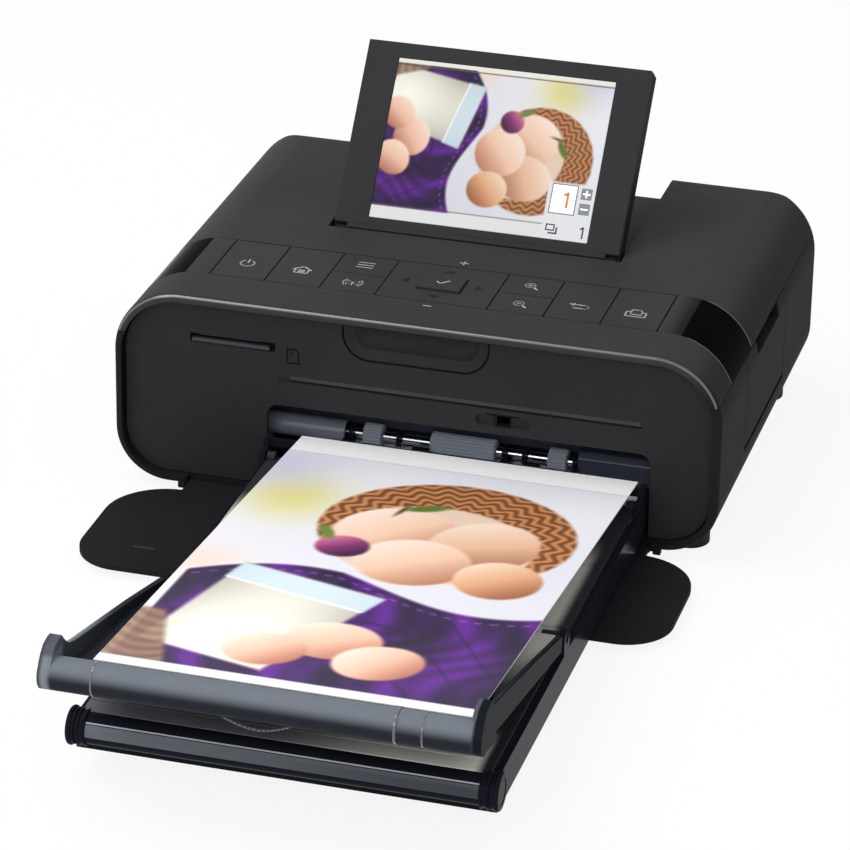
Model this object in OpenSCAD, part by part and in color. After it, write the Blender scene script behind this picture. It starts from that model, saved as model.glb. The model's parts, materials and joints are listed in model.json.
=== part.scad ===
// Compact dye-sublimation photo printer with its paper cassette pushed in,
// its front door open, its screen tilted up and one finished print on the output lid.
// Units are millimetres. +Z is up, the front faces -Y, and the origin is the
// middle of the underside of the whole outfit.
// Every module is written in the case frame, where Y = 0 is the case's front rim,
// X = 0 is its middle plane and Z = 0 is the table. place() moves it to the origin.

/* [Case] */
// Width of the case
case_w = 180.6; // [176:0.2:190]
// Depth of the case, front rim to rear rim
case_d = 136.2; // [134:0.2:138]
// Height of the case's top above the table
case_top = 63.3; // [62.8:0.1:66]
// Height of the rubber feet under the case
foot_h = 2.8; // [2.4:0.1:3.2]
// Radius of the two top corners, seen from the front
top_r = 20; // [16:0.5:22]
// Radius of the two bottom corners, seen from the front
bottom_r = 16; // [12:0.5:18]
// Wall thickness of the case shells
wall = 2.4; // [2:0.1:2.6]
// Rounding of the front and rear rims
rim_r = 2.2; // [1.8:0.1:2.3]
// Rounding of the case's rear edge
rear_r = 7.7; // [6:0.1:8.5]
// Height of the parting line between top cover and lower case
split_z = 49.6; // [48.8:0.1:50.4]
// Gap at the parting line
seam = 0.2; // [0.1:0.05:0.3]
// Gap between the shells and the panels set into them
panel_gap = 0.3; // [0.2:0.05:0.5]
// Radius of a rubber foot
foot_r = 6; // [4:0.5:6.5]
// Distance of a foot's centre from the middle plane
foot_x = 79.3; // [78:0.1:80]
// Distance of a foot's centre from the nearer rim
foot_inset = 16; // [14:0.5:17]
// Distance of a case screw from the middle plane
screw_x = 78; // [77.6:0.1:78.6]
// Distance of a case screw from the nearer rim
screw_inset = 27; // [26:0.5:28]
// Outer radius of a screw boss
boss_r = 4.4; // [4:0.1:4.6]
// Radius of a screw's shank
screw_r = 1.45; // [1.2:0.05:1.6]
// Radius of a screw's head
screw_head_r = 2.9; // [2.6:0.1:3]

/* [Front panel] */
// Distance of the front panel behind the rim
panel_inset = 3; // [2.9:0.1:3.6]
// Thickness of the front and rear panels
panel_t = 2.2; // [1.8:0.1:2.4]
// Middle of the cassette opening
bay_x = 12.75; // [12.4:0.05:13]
// Width of the cassette opening
bay_w = 114.1; // [113.8:0.1:115]
// Height of the cassette opening's top edge
bay_top = 31.3; // [30.5:0.1:32]
// Corner radius of the cassette opening
bay_r = 3.5; // [2:0.5:5]
// Middle of the memory card slot
card_x = -54.8; // [-56:0.1:-54]
// Width of the memory card slot
card_w = 25.8; // [25:0.1:27]
// Height of the card slot's lower edge
card_z = 47.8; // [47.4:0.1:48.2]
// Height of the card slot
card_h = 2.9; // [2.5:0.1:3.2]
// Width of the finger recess under the front rim
grip_w = 43.2; // [38:0.2:48]
// Height of the finger recess's lower edge
grip_z = 49; // [47:0.2:50]
// Depth of the finger recess behind the panel's face
grip_d = 6.5; // [5:0.1:8]
// Corner radius of the finger recess
grip_r = 8; // [6:0.2:9]
// Middle of the door catch slot
catch_x = 26.2; // [24:0.1:28]
// Height of the door catch slot's middle
catch_z = 35.5; // [35:0.1:36.5]

/* [Controls] */
// Distance of the control band behind the front rim
band_y = 17.5; // [17.2:0.1:18.2]
// Width of the control band, front to back
band_w = 27; // [26.4:0.1:27.2]
// Thickness of the control band
band_t = 1.1; // [0.9:0.05:1.2]
// Pitch of the key columns
key_pitch = 16.7; // [16.4:0.05:16.75]
// Gap between neighbouring keys
key_gap = 0.35; // [0.25:0.05:0.45]
// Thickness of a key cap
key_t = 1.8; // [1.5:0.1:2]
// How far a key can be pushed
key_travel = 0.6; // [0.5:0.05:0.7]
// Width of the OK key
ok_w = 12.7; // [11:0.1:14]
// Depth of the OK key, front to back
ok_d = 10; // [9:0.1:11]

/* [Screen] */
// Width of the screen panel
screen_w = 87.6; // [82:0.2:88]
// Length of the screen panel beyond its hinge axis
screen_l = 60.2; // [56:0.2:62]
// Thickness of the screen panel
screen_t = 7.4; // [6.6:0.1:7.8]
// Middle of the screen
screen_x = 0.5; // [-0.5:0.1:1]
// Tilt of the screen above level
screen_tilt = 51.6; // [45:0.1:60]
// Distance of the screen's hinge axis behind the front rim
hinge_y = 65.5; // [65.2:0.1:67]
// Radius of the screen's hinge barrel, and depth of its axis below the screen's face
hinge_r = 2.2; // [2:0.05:2.4]
// Radius of the screen's hinge pins
hinge_pin_r = 0.9; // [0.8:0.05:1]
// Gap between the screen and its recess
recess_gap = 1.2; // [0.8:0.1:1.6]
// Height of the recess floor
recess_z = 54; // [53.8:0.1:54.2]
// Width of the display window
display_w = 67; // [60:0.5:70]
// Height of the display window
display_h = 50.2; // [46:0.2:52]
// Distance of the display window from the hinge axis
display_s = 5.1; // [4.6:0.1:6]

/* [Doors] */
// Radius of the front door's hinge barrel
door_barrel_r = 1.3; // [1.2:0.05:1.3]
// Thickness of the front door
door_t = 1.8; // [1.6:0.1:2]
// Width of the front door
door_w = 173.2; // [168:0.5:176]
// Middle of the front door
door_x = 1.6; // [0:0.1:3]
// Reach of the front door from its hinge axis
door_l = 58.4; // [54:0.2:58.6]
// Distance from the hinge axis to the door's wide part
door_neck = 7; // [6:0.2:9]
// Corner radius of the door next to the hinge
door_rear_r = 18; // [14:0.5:20]
// Corner radius of the door at its free edge
door_front_r = 14; // [10:0.5:18]
// Half length of the front door's hinge
door_hinge_half = 69.4; // [66:0.5:72]
// Radius of the front door's hinge pins
door_pin_r = 0.8; // [0.7:0.05:0.9]
// Distance of the ink door's front edge behind the front rim
ink_door_y = 36; // [34:0.5:37]
// Width of the ink door, front to back
ink_door_w = 55; // [54:0.5:58]
// Height of the ink door's hinge axis
ink_hinge_z = 21.8; // [21.4:0.1:22.4]
// Width of the finger notch above the ink door
notch_w = 30; // [24:0.5:34]
// Gap round the doors
door_gap = 0.4; // [0.3:0.05:0.5]

/* [Rollers and gears] */
// Height of the paper's path over the platen
path_z = 30; // [29.8:0.05:30.2]
// Distance of the feed shaft behind the front rim
feed_y = 14.5; // [14.4:0.05:14.8]
// Height of the feed shaft
feed_z = 20.2; // [20.1:0.05:20.4]
// Radius of the feed shaft
feed_shaft_r = 1.5; // [1.3:0.05:1.6]
// Radius of the feed tyres
tyre_r = 3.5; // [3.2:0.05:3.6]
// Width of a narrow feed tyre
tyre_w = 5.6; // [4.5:0.1:6.5]
// Width of the wide middle tyre
wide_tyre_w = 19.4; // [16:0.2:22]
// Radius of the capstan roller
capstan_r = 3.5; // [3.3:0.05:3.6]
// Radius of the pinch roller
pinch_r = 3; // [2.8:0.05:3.1]
// Radius of the platen roller
platen_r = 5.5; // [5:0.1:6]
// Distance of the platen behind the front rim
platen_y = 63.5; // [63.2:0.1:63.8]
// Running clearance of a shaft in its hole
run_gap = 0.05; // [0.03:0.01:0.08]
// Module of the gears: pitch diameter over number of teeth
gear_m = 0.8; // [0.78:0.01:0.82]
// Teeth of the feed gear
feed_teeth = 20; // [20:1:20]
// Teeth of the capstan gear
capstan_teeth = 34; // [33:1:35]
// Teeth of the motor pinion
pinion_teeth = 12; // [11:1:13]
// Width of the gears
gear_w = 4; // [3.5:0.1:4.4]
// Radius of the feed motor
motor_r = 11; // [9:0.5:12]
// Length of the feed motor
motor_l = 21; // [17:0.5:22]
// Thickness of the chassis plates
plate_t = 1.2; // [1:0.1:1.4]

/* [Ink cassette] */
// Radius of the two spool housings
spool_case_r = 8.4; // [8:0.1:8.6]
// Distance between the two spools
spool_pitch = 32; // [31.6:0.2:32.4]
// Wall of the ink cassette
ink_wall = 1.4; // [1.2:0.1:1.5]
// Radius of the full supply roll
supply_r = 6.2; // [5:0.1:6.4]
// Radius of the take-up roll
takeup_r = 4.4; // [4:0.1:6]
// Thickness drawn for the ribbon
ribbon_t = 0.2; // [0.15:0.05:0.3]

/* [Paper cassette] */
// Width of the cassette's inner part
tray_w = 112.8; // [112:0.1:113.4]
// Width of the cassette's front part
tray_front_w = 115.2; // [114.6:0.2:117]
// Middle of the cassette
tray_x = 12.9; // [12.7:0.05:13]
// Height of the cassette's underside
tray_z = 6.5; // [6.2:0.1:6.8]
// Thickness of the cassette's walls
tray_wall = 1.6; // [1.4:0.1:1.8]
// Height of the cassette's outer walls above its underside
tray_h = 9.7; // [9.4:0.1:10]
// Distance of the cassette's front bar before the case's front rim
tray_reach = 160.7; // [158:0.5:163]
// How far the cassette goes into the case
tray_depth = 20; // [19.5:0.1:20.5]
// Radius of the rolled caps at the cassette's front corners
cap_r = 4.9; // [4.5:0.1:5.3]
// Width of a sheet of paper
sheet_w = 100; // [99:0.5:100]
// Gap between the print's end and the lip of the output lid
sheet_end_gap = 1.54; // [1.2:0.02:3]
// Thickness drawn for one sheet
sheet_t = 0.3; // [0.2:0.05:0.4]
// Middle of the paper
sheet_x = 16.7; // [16.2:0.1:16.8]
// Height of the stack of fresh paper
stack_h = 4.2; // [3:0.1:4.6]

/* [Output lid] */
// Distance of the lid's hinge axis before the front rim
lid_hinge_y = 90; // [86:0.5:94]
// Height of the lid's hinge axis
lid_hinge_z = 20; // [19.8:0.1:20.2]
// Length of the lid from its hinge axis to the middle of its lip
lid_l = 91.3; // [90:0.1:92.5]
// How far the lid is raised
lid_angle = 11.3; // [10.8:0.1:11.8]
// Width of the lid
lid_w = 112.4; // [111:0.2:112.8]
// Width of the rolled lip
lip_w = 115.8; // [115:0.2:117]
// Radius of the rolled lip
lip_r = 4.5; // [4.2:0.1:4.8]
// Thickness of the lid
lid_t = 1.6; // [1.3:0.1:1.8]
// Slope of the finished print
sheet_angle = 5.8; // [5.6:0.1:6]
// Height of the ears at the ends of the lip
ear_h = 4.3; // [3:0.1:5]

/* [Hidden] */
$fn = 64;

// Case
half_w = case_w / 2;
floor_z = foot_h + wall;
shell_top = case_top - wall;
cover_z = split_z + seam / 2;
lower_top = split_z - seam / 2;
panel_y0 = panel_inset;
panel_y1 = panel_inset + panel_t;
panel_edge = wall + panel_gap;
rear_y0 = case_d - panel_inset - panel_t;
rear_y1 = case_d - panel_inset;
rear_top = case_top - rear_r + sqrt(pow(rear_r - wall, 2) - pow(rear_y1 - case_d + rear_r, 2)) - panel_gap;
screw_seat = floor_z + 2;
screw_ys = [screw_inset, case_d - screw_inset];
// A screw ends this far under the top cover's round corner
screw_cover = 6.08;
corner_run = screw_x + screw_r - half_w + top_r;
screw_tip = case_top - top_r + sqrt(pow(top_r, 2) - pow(corner_run, 2)) - screw_cover;

// Screen, in its own frame: y runs up the panel from the hinge axis, z is its face's normal
screen_face = case_top - 0.3;
hinge_z = screen_face - hinge_r;
screen_back_z = hinge_r - screen_t;
frame_t = 1.9;
recess_half = screen_w / 2 + recess_gap;
recess_y = hinge_y - hinge_r - 0.5;
recess_wall = 2.2;
barrel_x0 = screen_w / 2 - 9;
barrel_x1 = screen_w / 2 - 1;
pin_x1 = recess_half + 4.2;

// Front door
door_axis_y = panel_inset - 0.1 - door_barrel_r;
door_axis_z = door_axis_y + 1.1;

// Ink door
ink_axis_x = half_w - 1.4;
ink_barrel_r = 1.1;
ink_pin_r = 0.6;
ink_y1 = ink_door_y + ink_door_w;
ink_cut_z = ink_hinge_z - ink_barrel_r - door_gap;
notch_y = (ink_door_y + ink_y1) / 2 + 1.5;

// Keys
key_rear_y = band_y + band_w;
key_mid_y = band_y + band_w / 2;
keys_half = 4 * key_pitch;
board_z = 54;
board_t = 1.4;
dome_h = 1.9;
stem_z = board_z + board_t + dome_h + key_travel + 0.1;

// Chassis and rollers
tray_half = tray_w / 2;
left_in = tray_x - tray_half - 5.5;
left_out = left_in - plate_t;
right_in = tray_x + tray_half + 2;
right_out = right_in + plate_t;
plate_y0 = panel_y1 + 1.8;
plate_y1 = case_d - 20;
plate_top = 50.2;
gear_x1 = left_out - 0.8;
gear_x0 = gear_x1 - gear_w;
bracket_x1 = gear_x0 - 1;
bracket_x0 = bracket_x1 - plate_t;
feed_reach = gear_m * (capstan_teeth + feed_teeth) / 2;
capstan_z = path_z - capstan_r;
capstan_y = feed_y + sqrt(pow(feed_reach, 2) - pow(capstan_z - feed_z, 2));
capstan_end_r = 2;
pinion_reach = gear_m * (capstan_teeth + pinion_teeth) / 2;
pinion_angle = -17;
pinion_y = capstan_y + pinion_reach * cos(pinion_angle);
pinion_z = capstan_z + pinion_reach * sin(pinion_angle);
motor_shaft_r = 1;
pinch_z = path_z + pinch_r + 0.2;
pinch_end_r = 1.5;
platen_z = path_z - platen_r - 0.1;
platen_end_r = 2.5;
idler_r = 2;
idler_axle_r = 0.8;
idler_y = feed_y - tyre_r - idler_r - 0.4;
idler_z = feed_z - 1;
sleeve_r = 3.2;
tyres = [[-15.2, tyre_w], [12, wide_tyre_w], [40.3, tyre_w]];
idlers = [0.5, 33.5];
idler_w = 5;

// Ink cassette
takeup_y = platen_y - spool_pitch / 2;
supply_y = platen_y + spool_pitch / 2;
spool_z = path_z + 0.8 + spool_case_r;
ink_x0 = left_in + 5;
ink_x1 = ink_axis_x - 8.8;
spool_end_r = 2;
ribbon_z = path_z + 2.2;
window_top = spool_z + spool_case_r + 0.5;
bracket_z = 48.6;

// Paper cassette
stack_top = feed_z - tyre_r - 0.3;
tray_floor = tray_z + tray_wall;
tray_top = tray_z + tray_h;
tray_step = 15.5;
cap_z = tray_z + cap_r + 1.5;
cap_w = 2;
lift_t = 1;
lift_z = stack_top - stack_h - lift_t;
stack_y1 = tray_depth - tray_wall - 0.4;
inner_lid_t = 1.2;
inner_lid_z = stack_top + 0.3;
inner_hinge_y = -4.5;
inner_hinge_z = stack_top + 1.9;
inner_pin_r = 0.9;
inner_barrel_r = 1.6;
ledge_in = sheet_x + sheet_w / 2 - tray_x + 0.2;
stack_l = stack_y1 + tray_reach - cap_r;
lift_travel = 0.8;
inner_lid_l = tray_reach - cap_r - 1 + inner_hinge_y;
rest_y = -0.8;
rest_top = 22.8;

// Output lid, in its own frame: -y runs from the hinge axis to the lip
lid_pin_r = 1.2;
ear_r = 3;
lip_local_z = 0.5;
lip_y = -lid_hinge_y - lid_l * cos(lid_angle) + lip_local_z * sin(lid_angle);
lip_z = lid_hinge_z + lid_l * sin(lid_angle) + lip_local_z * cos(lid_angle);

// Print
sheet_rest = rest_top + 0.25;
sheet_rear = 2.7;
sheet_l = (sheet_rear - lip_y - lip_r - sheet_end_gap) / cos(sheet_angle);
// Height of the print's underside in the lid's frame, where the lid's ribs stand
rib_y = 8.8 - lid_l;
over_hinge = sheet_rest + (rest_y + lid_hinge_y) * tan(sheet_angle) - lid_hinge_z;
rib_run = (rib_y + over_hinge * sin(lid_angle)) / (cos(lid_angle) + tan(sheet_angle) * sin(lid_angle));
rib_top = rib_run * sin(lid_angle) + (over_hinge - rib_run * tan(sheet_angle)) * cos(lid_angle) - 0.25;

// Overall reach, and the move that puts the origin in the middle
reach_y = lip_y - lip_r;
origin_y = (case_d + reach_y) / 2;

module place() {
    translate([0, -origin_y, 0]) children();
}

// A box between two corners
module box(x0, x1, y0, y1, z0, z1) {
    translate([x0, y0, z0]) cube([x1 - x0, y1 - y0, z1 - z0]);
}

// Extrudes a (y, z) outline along X
module along_x(x0, x1) {
    translate([x0, 0, 0]) rotate([90, 0, 90]) linear_extrude(x1 - x0) children();
}

// Extrudes an (x, z) outline along Y
module along_y(y0, y1) {
    translate([0, y1, 0]) rotate([90, 0, 0]) linear_extrude(y1 - y0) children();
}

module rod_x(x0, x1, y, z, r) {
    translate([x0, y, z]) rotate([0, 90, 0]) cylinder(h = x1 - x0, r = r);
}

module rod_y(y0, y1, x, z, r) {
    translate([x, y1, z]) rotate([90, 0, 0]) cylinder(h = y1 - y0, r = r);
}

module rod_z(z0, z1, x, y, r) {
    translate([x, y, z0]) cylinder(h = z1 - z0, r = r);
}

// Rectangle with round corners: r0 at the low-y end, r1 at the high-y end
module round_plate(x0, x1, y0, y1, r0, r1) {
    translate([x0, y0 + r0]) square([x1 - x0, y1 - y0 - r0 - r1]);
    translate([x0 + r0, y0]) square([x1 - x0 - 2 * r0, r0 + 0.01]);
    translate([x0 + r1, y1 - r1 - 0.01]) square([x1 - x0 - 2 * r1, r1 + 0.01]);
    for (x = [x0 + r0, x1 - r0]) translate([x, y0 + r0]) circle(r0);
    for (x = [x0 + r1, x1 - r1]) translate([x, y1 - r1]) circle(r1);
}

// Front view of the case, moved inwards by inset
module case_outline(inset) {
    round_plate(-half_w + inset, half_w - inset, foot_h + inset, case_top - inset,
        bottom_r - inset, top_r - inset);
}

// Quarter of a round column along Y with rounded ends: the case's corner
module corner_column(x, z, r, angle) {
    translate([x, 0, z]) rotate([-90, -angle, 0]) rotate_extrude(angle = 90) intersection() {
        round_plate(-r, r, 0, case_d, rim_r, rim_r);
        square([r, case_d]);
    }
}

// Solid block of the case with rounded front and rear rims
module case_block() {
    intersection() {
        union() {
            translate([0, 0, foot_h + bottom_r])
                linear_extrude(case_top - top_r - foot_h - bottom_r)
                    round_plate(-half_w, half_w, 0, case_d, rim_r, rim_r);
            along_x(-half_w + top_r, half_w - top_r) intersection() {
                round_plate(0, case_d, foot_h, case_top, rim_r, rim_r);
                translate([0, case_top - top_r]) square([case_d, top_r]);
            }
            along_x(-half_w + bottom_r, half_w - bottom_r) intersection() {
                round_plate(0, case_d, foot_h, case_top, rim_r, rim_r);
                translate([0, foot_h]) square([case_d, bottom_r]);
            }
            corner_column(half_w - top_r, case_top - top_r, top_r, 90);
            corner_column(-half_w + top_r, case_top - top_r, top_r, 180);
            corner_column(-half_w + bottom_r, foot_h + bottom_r, bottom_r, 270);
            corner_column(half_w - bottom_r, foot_h + bottom_r, bottom_r, 0);
        }
        along_x(-half_w - 1, half_w + 1) side_outline(0);
    }
}

// Side view of the case with the round edge at the rear of its top, moved inwards by inset
module side_outline(inset) {
    translate([case_d - rear_r, case_top - rear_r]) circle(rear_r - inset);
    translate([-2, 0]) square([case_d - rear_r + 2, case_top - inset]);
    translate([-2, 0]) square([case_d + 2 + inset, case_top - rear_r]);
}

// The case's shell, open at the front and the rear
module case_shell() {
    difference() {
        case_block();
        intersection() {
            along_y(-1, case_d + 1) case_outline(wall);
            along_x(-half_w, half_w) side_outline(wall);
        }
    }
}

// One involute gear in the (y, z) plane, with its first tooth at angle 0
gear_pressure = 25;
gear_tip = 0.85;
gear_root = 1.1;
backlash = 0.1;
function involute(base, r) = sqrt(pow(r / base, 2) - 1) * 180 / PI - acos(base / r);
function flank_angle(pitch_r, teeth, r) =
    90 / teeth - backlash / 2 / pitch_r * 180 / PI
    + involute(pitch_r * cos(gear_pressure), pitch_r)
    - involute(pitch_r * cos(gear_pressure), r);
module gear_outline(teeth, phase) {
    pitch_r = gear_m * teeth / 2;
    tip_r = pitch_r + gear_tip * gear_m;
    root_r = pitch_r - gear_root * gear_m;
    low_r = max(root_r + 0.1, pitch_r * cos(gear_pressure) + 0.01);
    radii = [low_r, (low_r + pitch_r) / 2, pitch_r, (pitch_r + tip_r) / 2, tip_r];
    polygon([
        for (tooth = [0 : teeth - 1])
            let (a = phase + tooth * 360 / teeth)
            each concat(
                [root_r * [cos(a - flank_angle(pitch_r, teeth, low_r)),
                    sin(a - flank_angle(pitch_r, teeth, low_r))]],
                [for (r = radii) r * [cos(a - flank_angle(pitch_r, teeth, r)),
                    sin(a - flank_angle(pitch_r, teeth, r))]],
                [for (i = [4 : -1 : 0]) radii[i] * [cos(a + flank_angle(pitch_r, teeth, radii[i])),
                    sin(a + flank_angle(pitch_r, teeth, radii[i]))]],
                [root_r * [cos(a + flank_angle(pitch_r, teeth, low_r)),
                    sin(a + flank_angle(pitch_r, teeth, low_r))]]
            )
    ]);
}
// Angle of the follower's first tooth that meshes with the driver's
function mesh_phase(direction, driver_phase, driver_teeth, teeth) =
    direction + 180 + (direction - driver_phase) * driver_teeth / teeth + 180 / teeth;
feed_direction = atan2(feed_z - capstan_z, feed_y - capstan_y);
feed_phase = mesh_phase(feed_direction, 0, capstan_teeth, feed_teeth);
pinion_phase = mesh_phase(pinion_angle, 0, capstan_teeth, pinion_teeth);

// ---------------------------------------------------------------- case

module screw_boss_columns(z0, z1, r) {
    for (side = [-1, 1], y = screw_ys) rod_z(z0, z1, side * screw_x, y, r);
}

module top_cover() {
    color("#2b2b2d") place() difference() {
        union() {
            intersection() {
                case_shell();
                box(-half_w, half_w, 0, case_d, cover_z, case_top + 1);
            }
            // Walls and floor of the screen recess
            intersection() {
                box(screen_x - recess_half - recess_wall, screen_x + recess_half + recess_wall,
                    recess_y - recess_wall, case_d, recess_z - recess_wall, case_top);
                case_block();
            }
            // Bosses that hold the screen's hinge pins
            for (side = [-1, 1])
                translate([screen_x + side * (recess_half + recess_wall + 1), 0, 0])
                    box(-2, 2, hinge_y - 3, hinge_y + 3, hinge_z - 3, shell_top + 0.5);
            // Posts that carry the key board
            for (side = [-1, 1], y = [band_y + 4, key_rear_y - 4])
                rod_z(board_z + board_t, shell_top + 0.5, side * (keys_half + 2.6), y, 2);
            // Screw bosses
            intersection() {
                screw_boss_columns(cover_z, case_top, boss_r);
                along_y(1, case_d - 1) case_outline(1);
            }
        }
        // Space of the closed screen, open to the rear
        box(screen_x - recess_half, screen_x + recess_half, recess_y, case_d + 1,
            recess_z, case_top + 1);
        // Groove of the control band
        intersection() {
            difference() {
                box(-half_w - 1, half_w + 1, band_y, key_rear_y, cover_z - 1, case_top + 1);
                along_y(band_y - 1, key_rear_y + 1) case_outline(band_t + 0.1);
            }
        }
        // Opening under the keys
        box(-keys_half - 0.2, keys_half + 0.2, band_y + 0.2, key_rear_y - 0.2,
            shell_top - 1, case_top + 1);
        // Holes for the screen's hinge pins
        rod_x(screen_x - pin_x1, screen_x + pin_x1, hinge_y, hinge_z, hinge_pin_r);
        // Holes that take the case screws
        screw_boss_columns(cover_z - 1, screw_tip + 1, screw_r + 0.05);
    }
}

module lower_case() {
    color("#29292b") place() difference() {
        union() {
            intersection() {
                case_shell();
                box(-half_w, half_w, 0, case_d, foot_h - 1, lower_top);
            }
            intersection() {
                screw_boss_columns(foot_h, lower_top, boss_r);
                along_y(1, case_d - 1) case_outline(0.8);
            }
            // Posts of the main board
            for (x = board_posts_x, y = board_posts_y) rod_z(floor_z - 0.5, main_board_z, x, y, 2.4);
            // Ears of the front door's hinge
            for (side = [-1, 1]) translate([door_x + side * (door_hinge_half + 2.1), 0, 0]) {
                rod_x(-1, 1, door_axis_y, door_axis_z, 1.6);
                box(-1, 1, door_axis_y, door_axis_y + 1.6, door_axis_z, floor_z - 0.4);
            }
        }
        // Room for the front door's hinge barrel
        box(door_x - door_hinge_half - door_gap, door_x + door_hinge_half + door_gap,
            -1, panel_y0 + 0.2, foot_h - 1, floor_z + 1);
        rod_x(door_x - door_hinge_half - 3.4, door_x + door_hinge_half + 3.4, door_axis_y, door_axis_z,
            door_pin_r + run_gap);
        // Opening of the ink door
        box(half_w - 8, half_w + 1, ink_door_y, ink_y1, ink_cut_z, lower_top + 1);
        rod_y(ink_door_y - 1.7, ink_y1 + 1.7, ink_axis_x, ink_hinge_z, ink_pin_r + run_gap);
        // Screw holes with counterbores from below
        screw_boss_columns(foot_h - 1, lower_top + 1, screw_r + 0.25);
        screw_boss_columns(foot_h - 1, screw_seat, screw_head_r + 0.2);
    }
}

grip_top = case_top - panel_edge - 1.2;
// Outline of the finger recess, with round lower corners
module grip_outline(x0, x1, z0, z1, r) {
    translate([x0 + r, z0]) square([x1 - x0 - 2 * r, z1 - z0]);
    intersection() {
        translate([x0, z0]) square([x1 - x0, z1 - z0]);
        for (x = [x0 + r, x1 - r]) translate([x, z0 + r]) circle(r);
    }
    if (z1 > z0 + r) translate([x0, z0 + r]) square([x1 - x0, z1 - z0 - r]);
}

module front_panel() {
    color("#2e2e31") place() difference() {
        union() {
            along_y(panel_y0, panel_y1) case_outline(panel_edge);
            // Cup of the finger recess
            along_y(panel_y1 - 0.5, panel_y0 + grip_d + 1.4)
                grip_outline(-grip_w / 2 - 1.4, grip_w / 2 + 1.4, grip_z - 1.4, grip_top + 0.6, grip_r + 1.4);
        }
        // Step line across the panel
        box(-40.7, 67, panel_y0 - 1, panel_y0 + 0.5, 39.1, 40.2);
        // Cassette opening
        along_y(panel_y0 - 1, panel_y1 + 1)
            round_plate(bay_x - bay_w / 2, bay_x + bay_w / 2, -10, bay_top, 1, bay_r);
        // Finger recess
        along_y(panel_y0 - 1, panel_y0 + grip_d)
            grip_outline(-grip_w / 2, grip_w / 2, grip_z, grip_top, grip_r);
        // Memory card slot
        box(card_x - card_w / 2, card_x + card_w / 2, panel_y0 - 1, panel_y1 + 1, card_z, card_z + card_h);
        // Door catch slot: a shallow oval with a square hole
        along_y(panel_y0 - 1, panel_y0 + 1)
            round_plate(catch_x - 8, catch_x + 8, catch_z - 1.5, catch_z + 1.5, 1.45, 1.45);
        box(catch_x - 2, catch_x + 2, panel_y0 - 1, panel_y1 + 1, catch_z - 1.9, catch_z + 1.9);
    }
}

module rear_panel() {
    color("#252527") place() difference() {
        along_y(rear_y0, rear_y1) case_outline(panel_edge);
        // Clear of the top cover's round rear edge
        box(-half_w, half_w, rear_y0 - 1, rear_y1 + 1, rear_top, case_top);
        // Room for the screen recess
        box(screen_x - recess_half - recess_wall - 0.3, screen_x + recess_half + recess_wall + 0.3,
            rear_y0 - 1, rear_y1 + 1, recess_z - recess_wall - 0.3, case_top);
        // Slot the paper passes through while it is printed
        box(sheet_x - sheet_w / 2 - 2.5, sheet_x + sheet_w / 2 + 2.5, rear_y0 - 1, rear_y1 + 1,
            path_z - 1.8, path_z + 1.8);
        // Holes of the sockets
        box(power_x - 5.2, power_x + 5.2, rear_y0 - 1, rear_y1 + 1,
            main_board_z + board_t - 0.2, main_board_z + board_t + 10.6);
        box(usb_x - 4.3, usb_x + 4.3, rear_y0 - 1, rear_y1 + 1,
            main_board_z + board_t - 0.2, main_board_z + board_t + 4.6);
        // Cooling slots
        for (i = [0 : 6]) box(-78 + i * 3.4, -76.4 + i * 3.4, rear_y0 - 1, rear_y1 + 1, 36, 46);
        for (i = [0 : 6]) box(56 + i * 3.4, 57.6 + i * 3.4, rear_y0 - 1, rear_y1 + 1, 36, 46);
        // Security slot
        box(72.5, 79.5, rear_y0 - 1, rear_y1 + 1, 20, 23);
    }
}

module control_band() {
    color("#0b0b0c") place() difference() {
        intersection() {
            case_block();
            box(-half_w - 1, half_w + 1, band_y + 0.1, key_rear_y - 0.1, cover_z, case_top + 1);
        }
        along_y(band_y - 1, key_rear_y + 1) case_outline(band_t);
        box(-keys_half - 0.2, keys_half + 0.2, band_y - 1, key_rear_y + 1, shell_top - 1, case_top + 1);
    }
}

module rubber_feet() {
    color("#1b1b1c") place() difference() {
        for (side = [-1, 1], y = [foot_inset, case_d - foot_inset])
            rod_z(0, foot_h + 6, side * foot_x, y, foot_r);
        along_y(-1, case_d + 1) case_outline(0);
    }
}

module case_screws() {
    color("#9a9c9e") place() {
        for (side = [-1, 1], y = screw_ys) {
            difference() {
                rod_z(screw_seat - 2, screw_seat, side * screw_x, y, screw_head_r);
                for (turn = [0, 90]) translate([side * screw_x, y, screw_seat - 2]) rotate([0, 0, turn])
                    cube([3.4, 0.7, 2], center = true);
            }
            rod_z(screw_seat - 0.5, screw_tip, side * screw_x, y, screw_r);
        }
    }
}

// ---------------------------------------------------------------- chassis

module shaft_holes(x0, x1) {
    rod_x(x0, x1, feed_y, feed_z, feed_shaft_r + run_gap);
    rod_x(x0, x1, capstan_y, capstan_z, capstan_end_r + run_gap);
    rod_x(x0, x1, capstan_y, pinch_z, pinch_end_r + run_gap);
    rod_x(x0, x1, platen_y, platen_z, platen_end_r + run_gap);
}

module chassis_left() {
    color("#8f9396") place() difference() {
        box(left_out, left_in, plate_y0, plate_y1, floor_z, plate_top);
        shaft_holes(left_out - 1, left_in + 1);
        // Step under the card socket
        box(left_out - 1, left_in + 1, plate_y0 - 1, 36.5, socket_z - 0.2, plate_top + 1);
        // Lightening hole
        rod_x(left_out - 1, left_in + 1, 92, 24, 9);
    }
}

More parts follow.
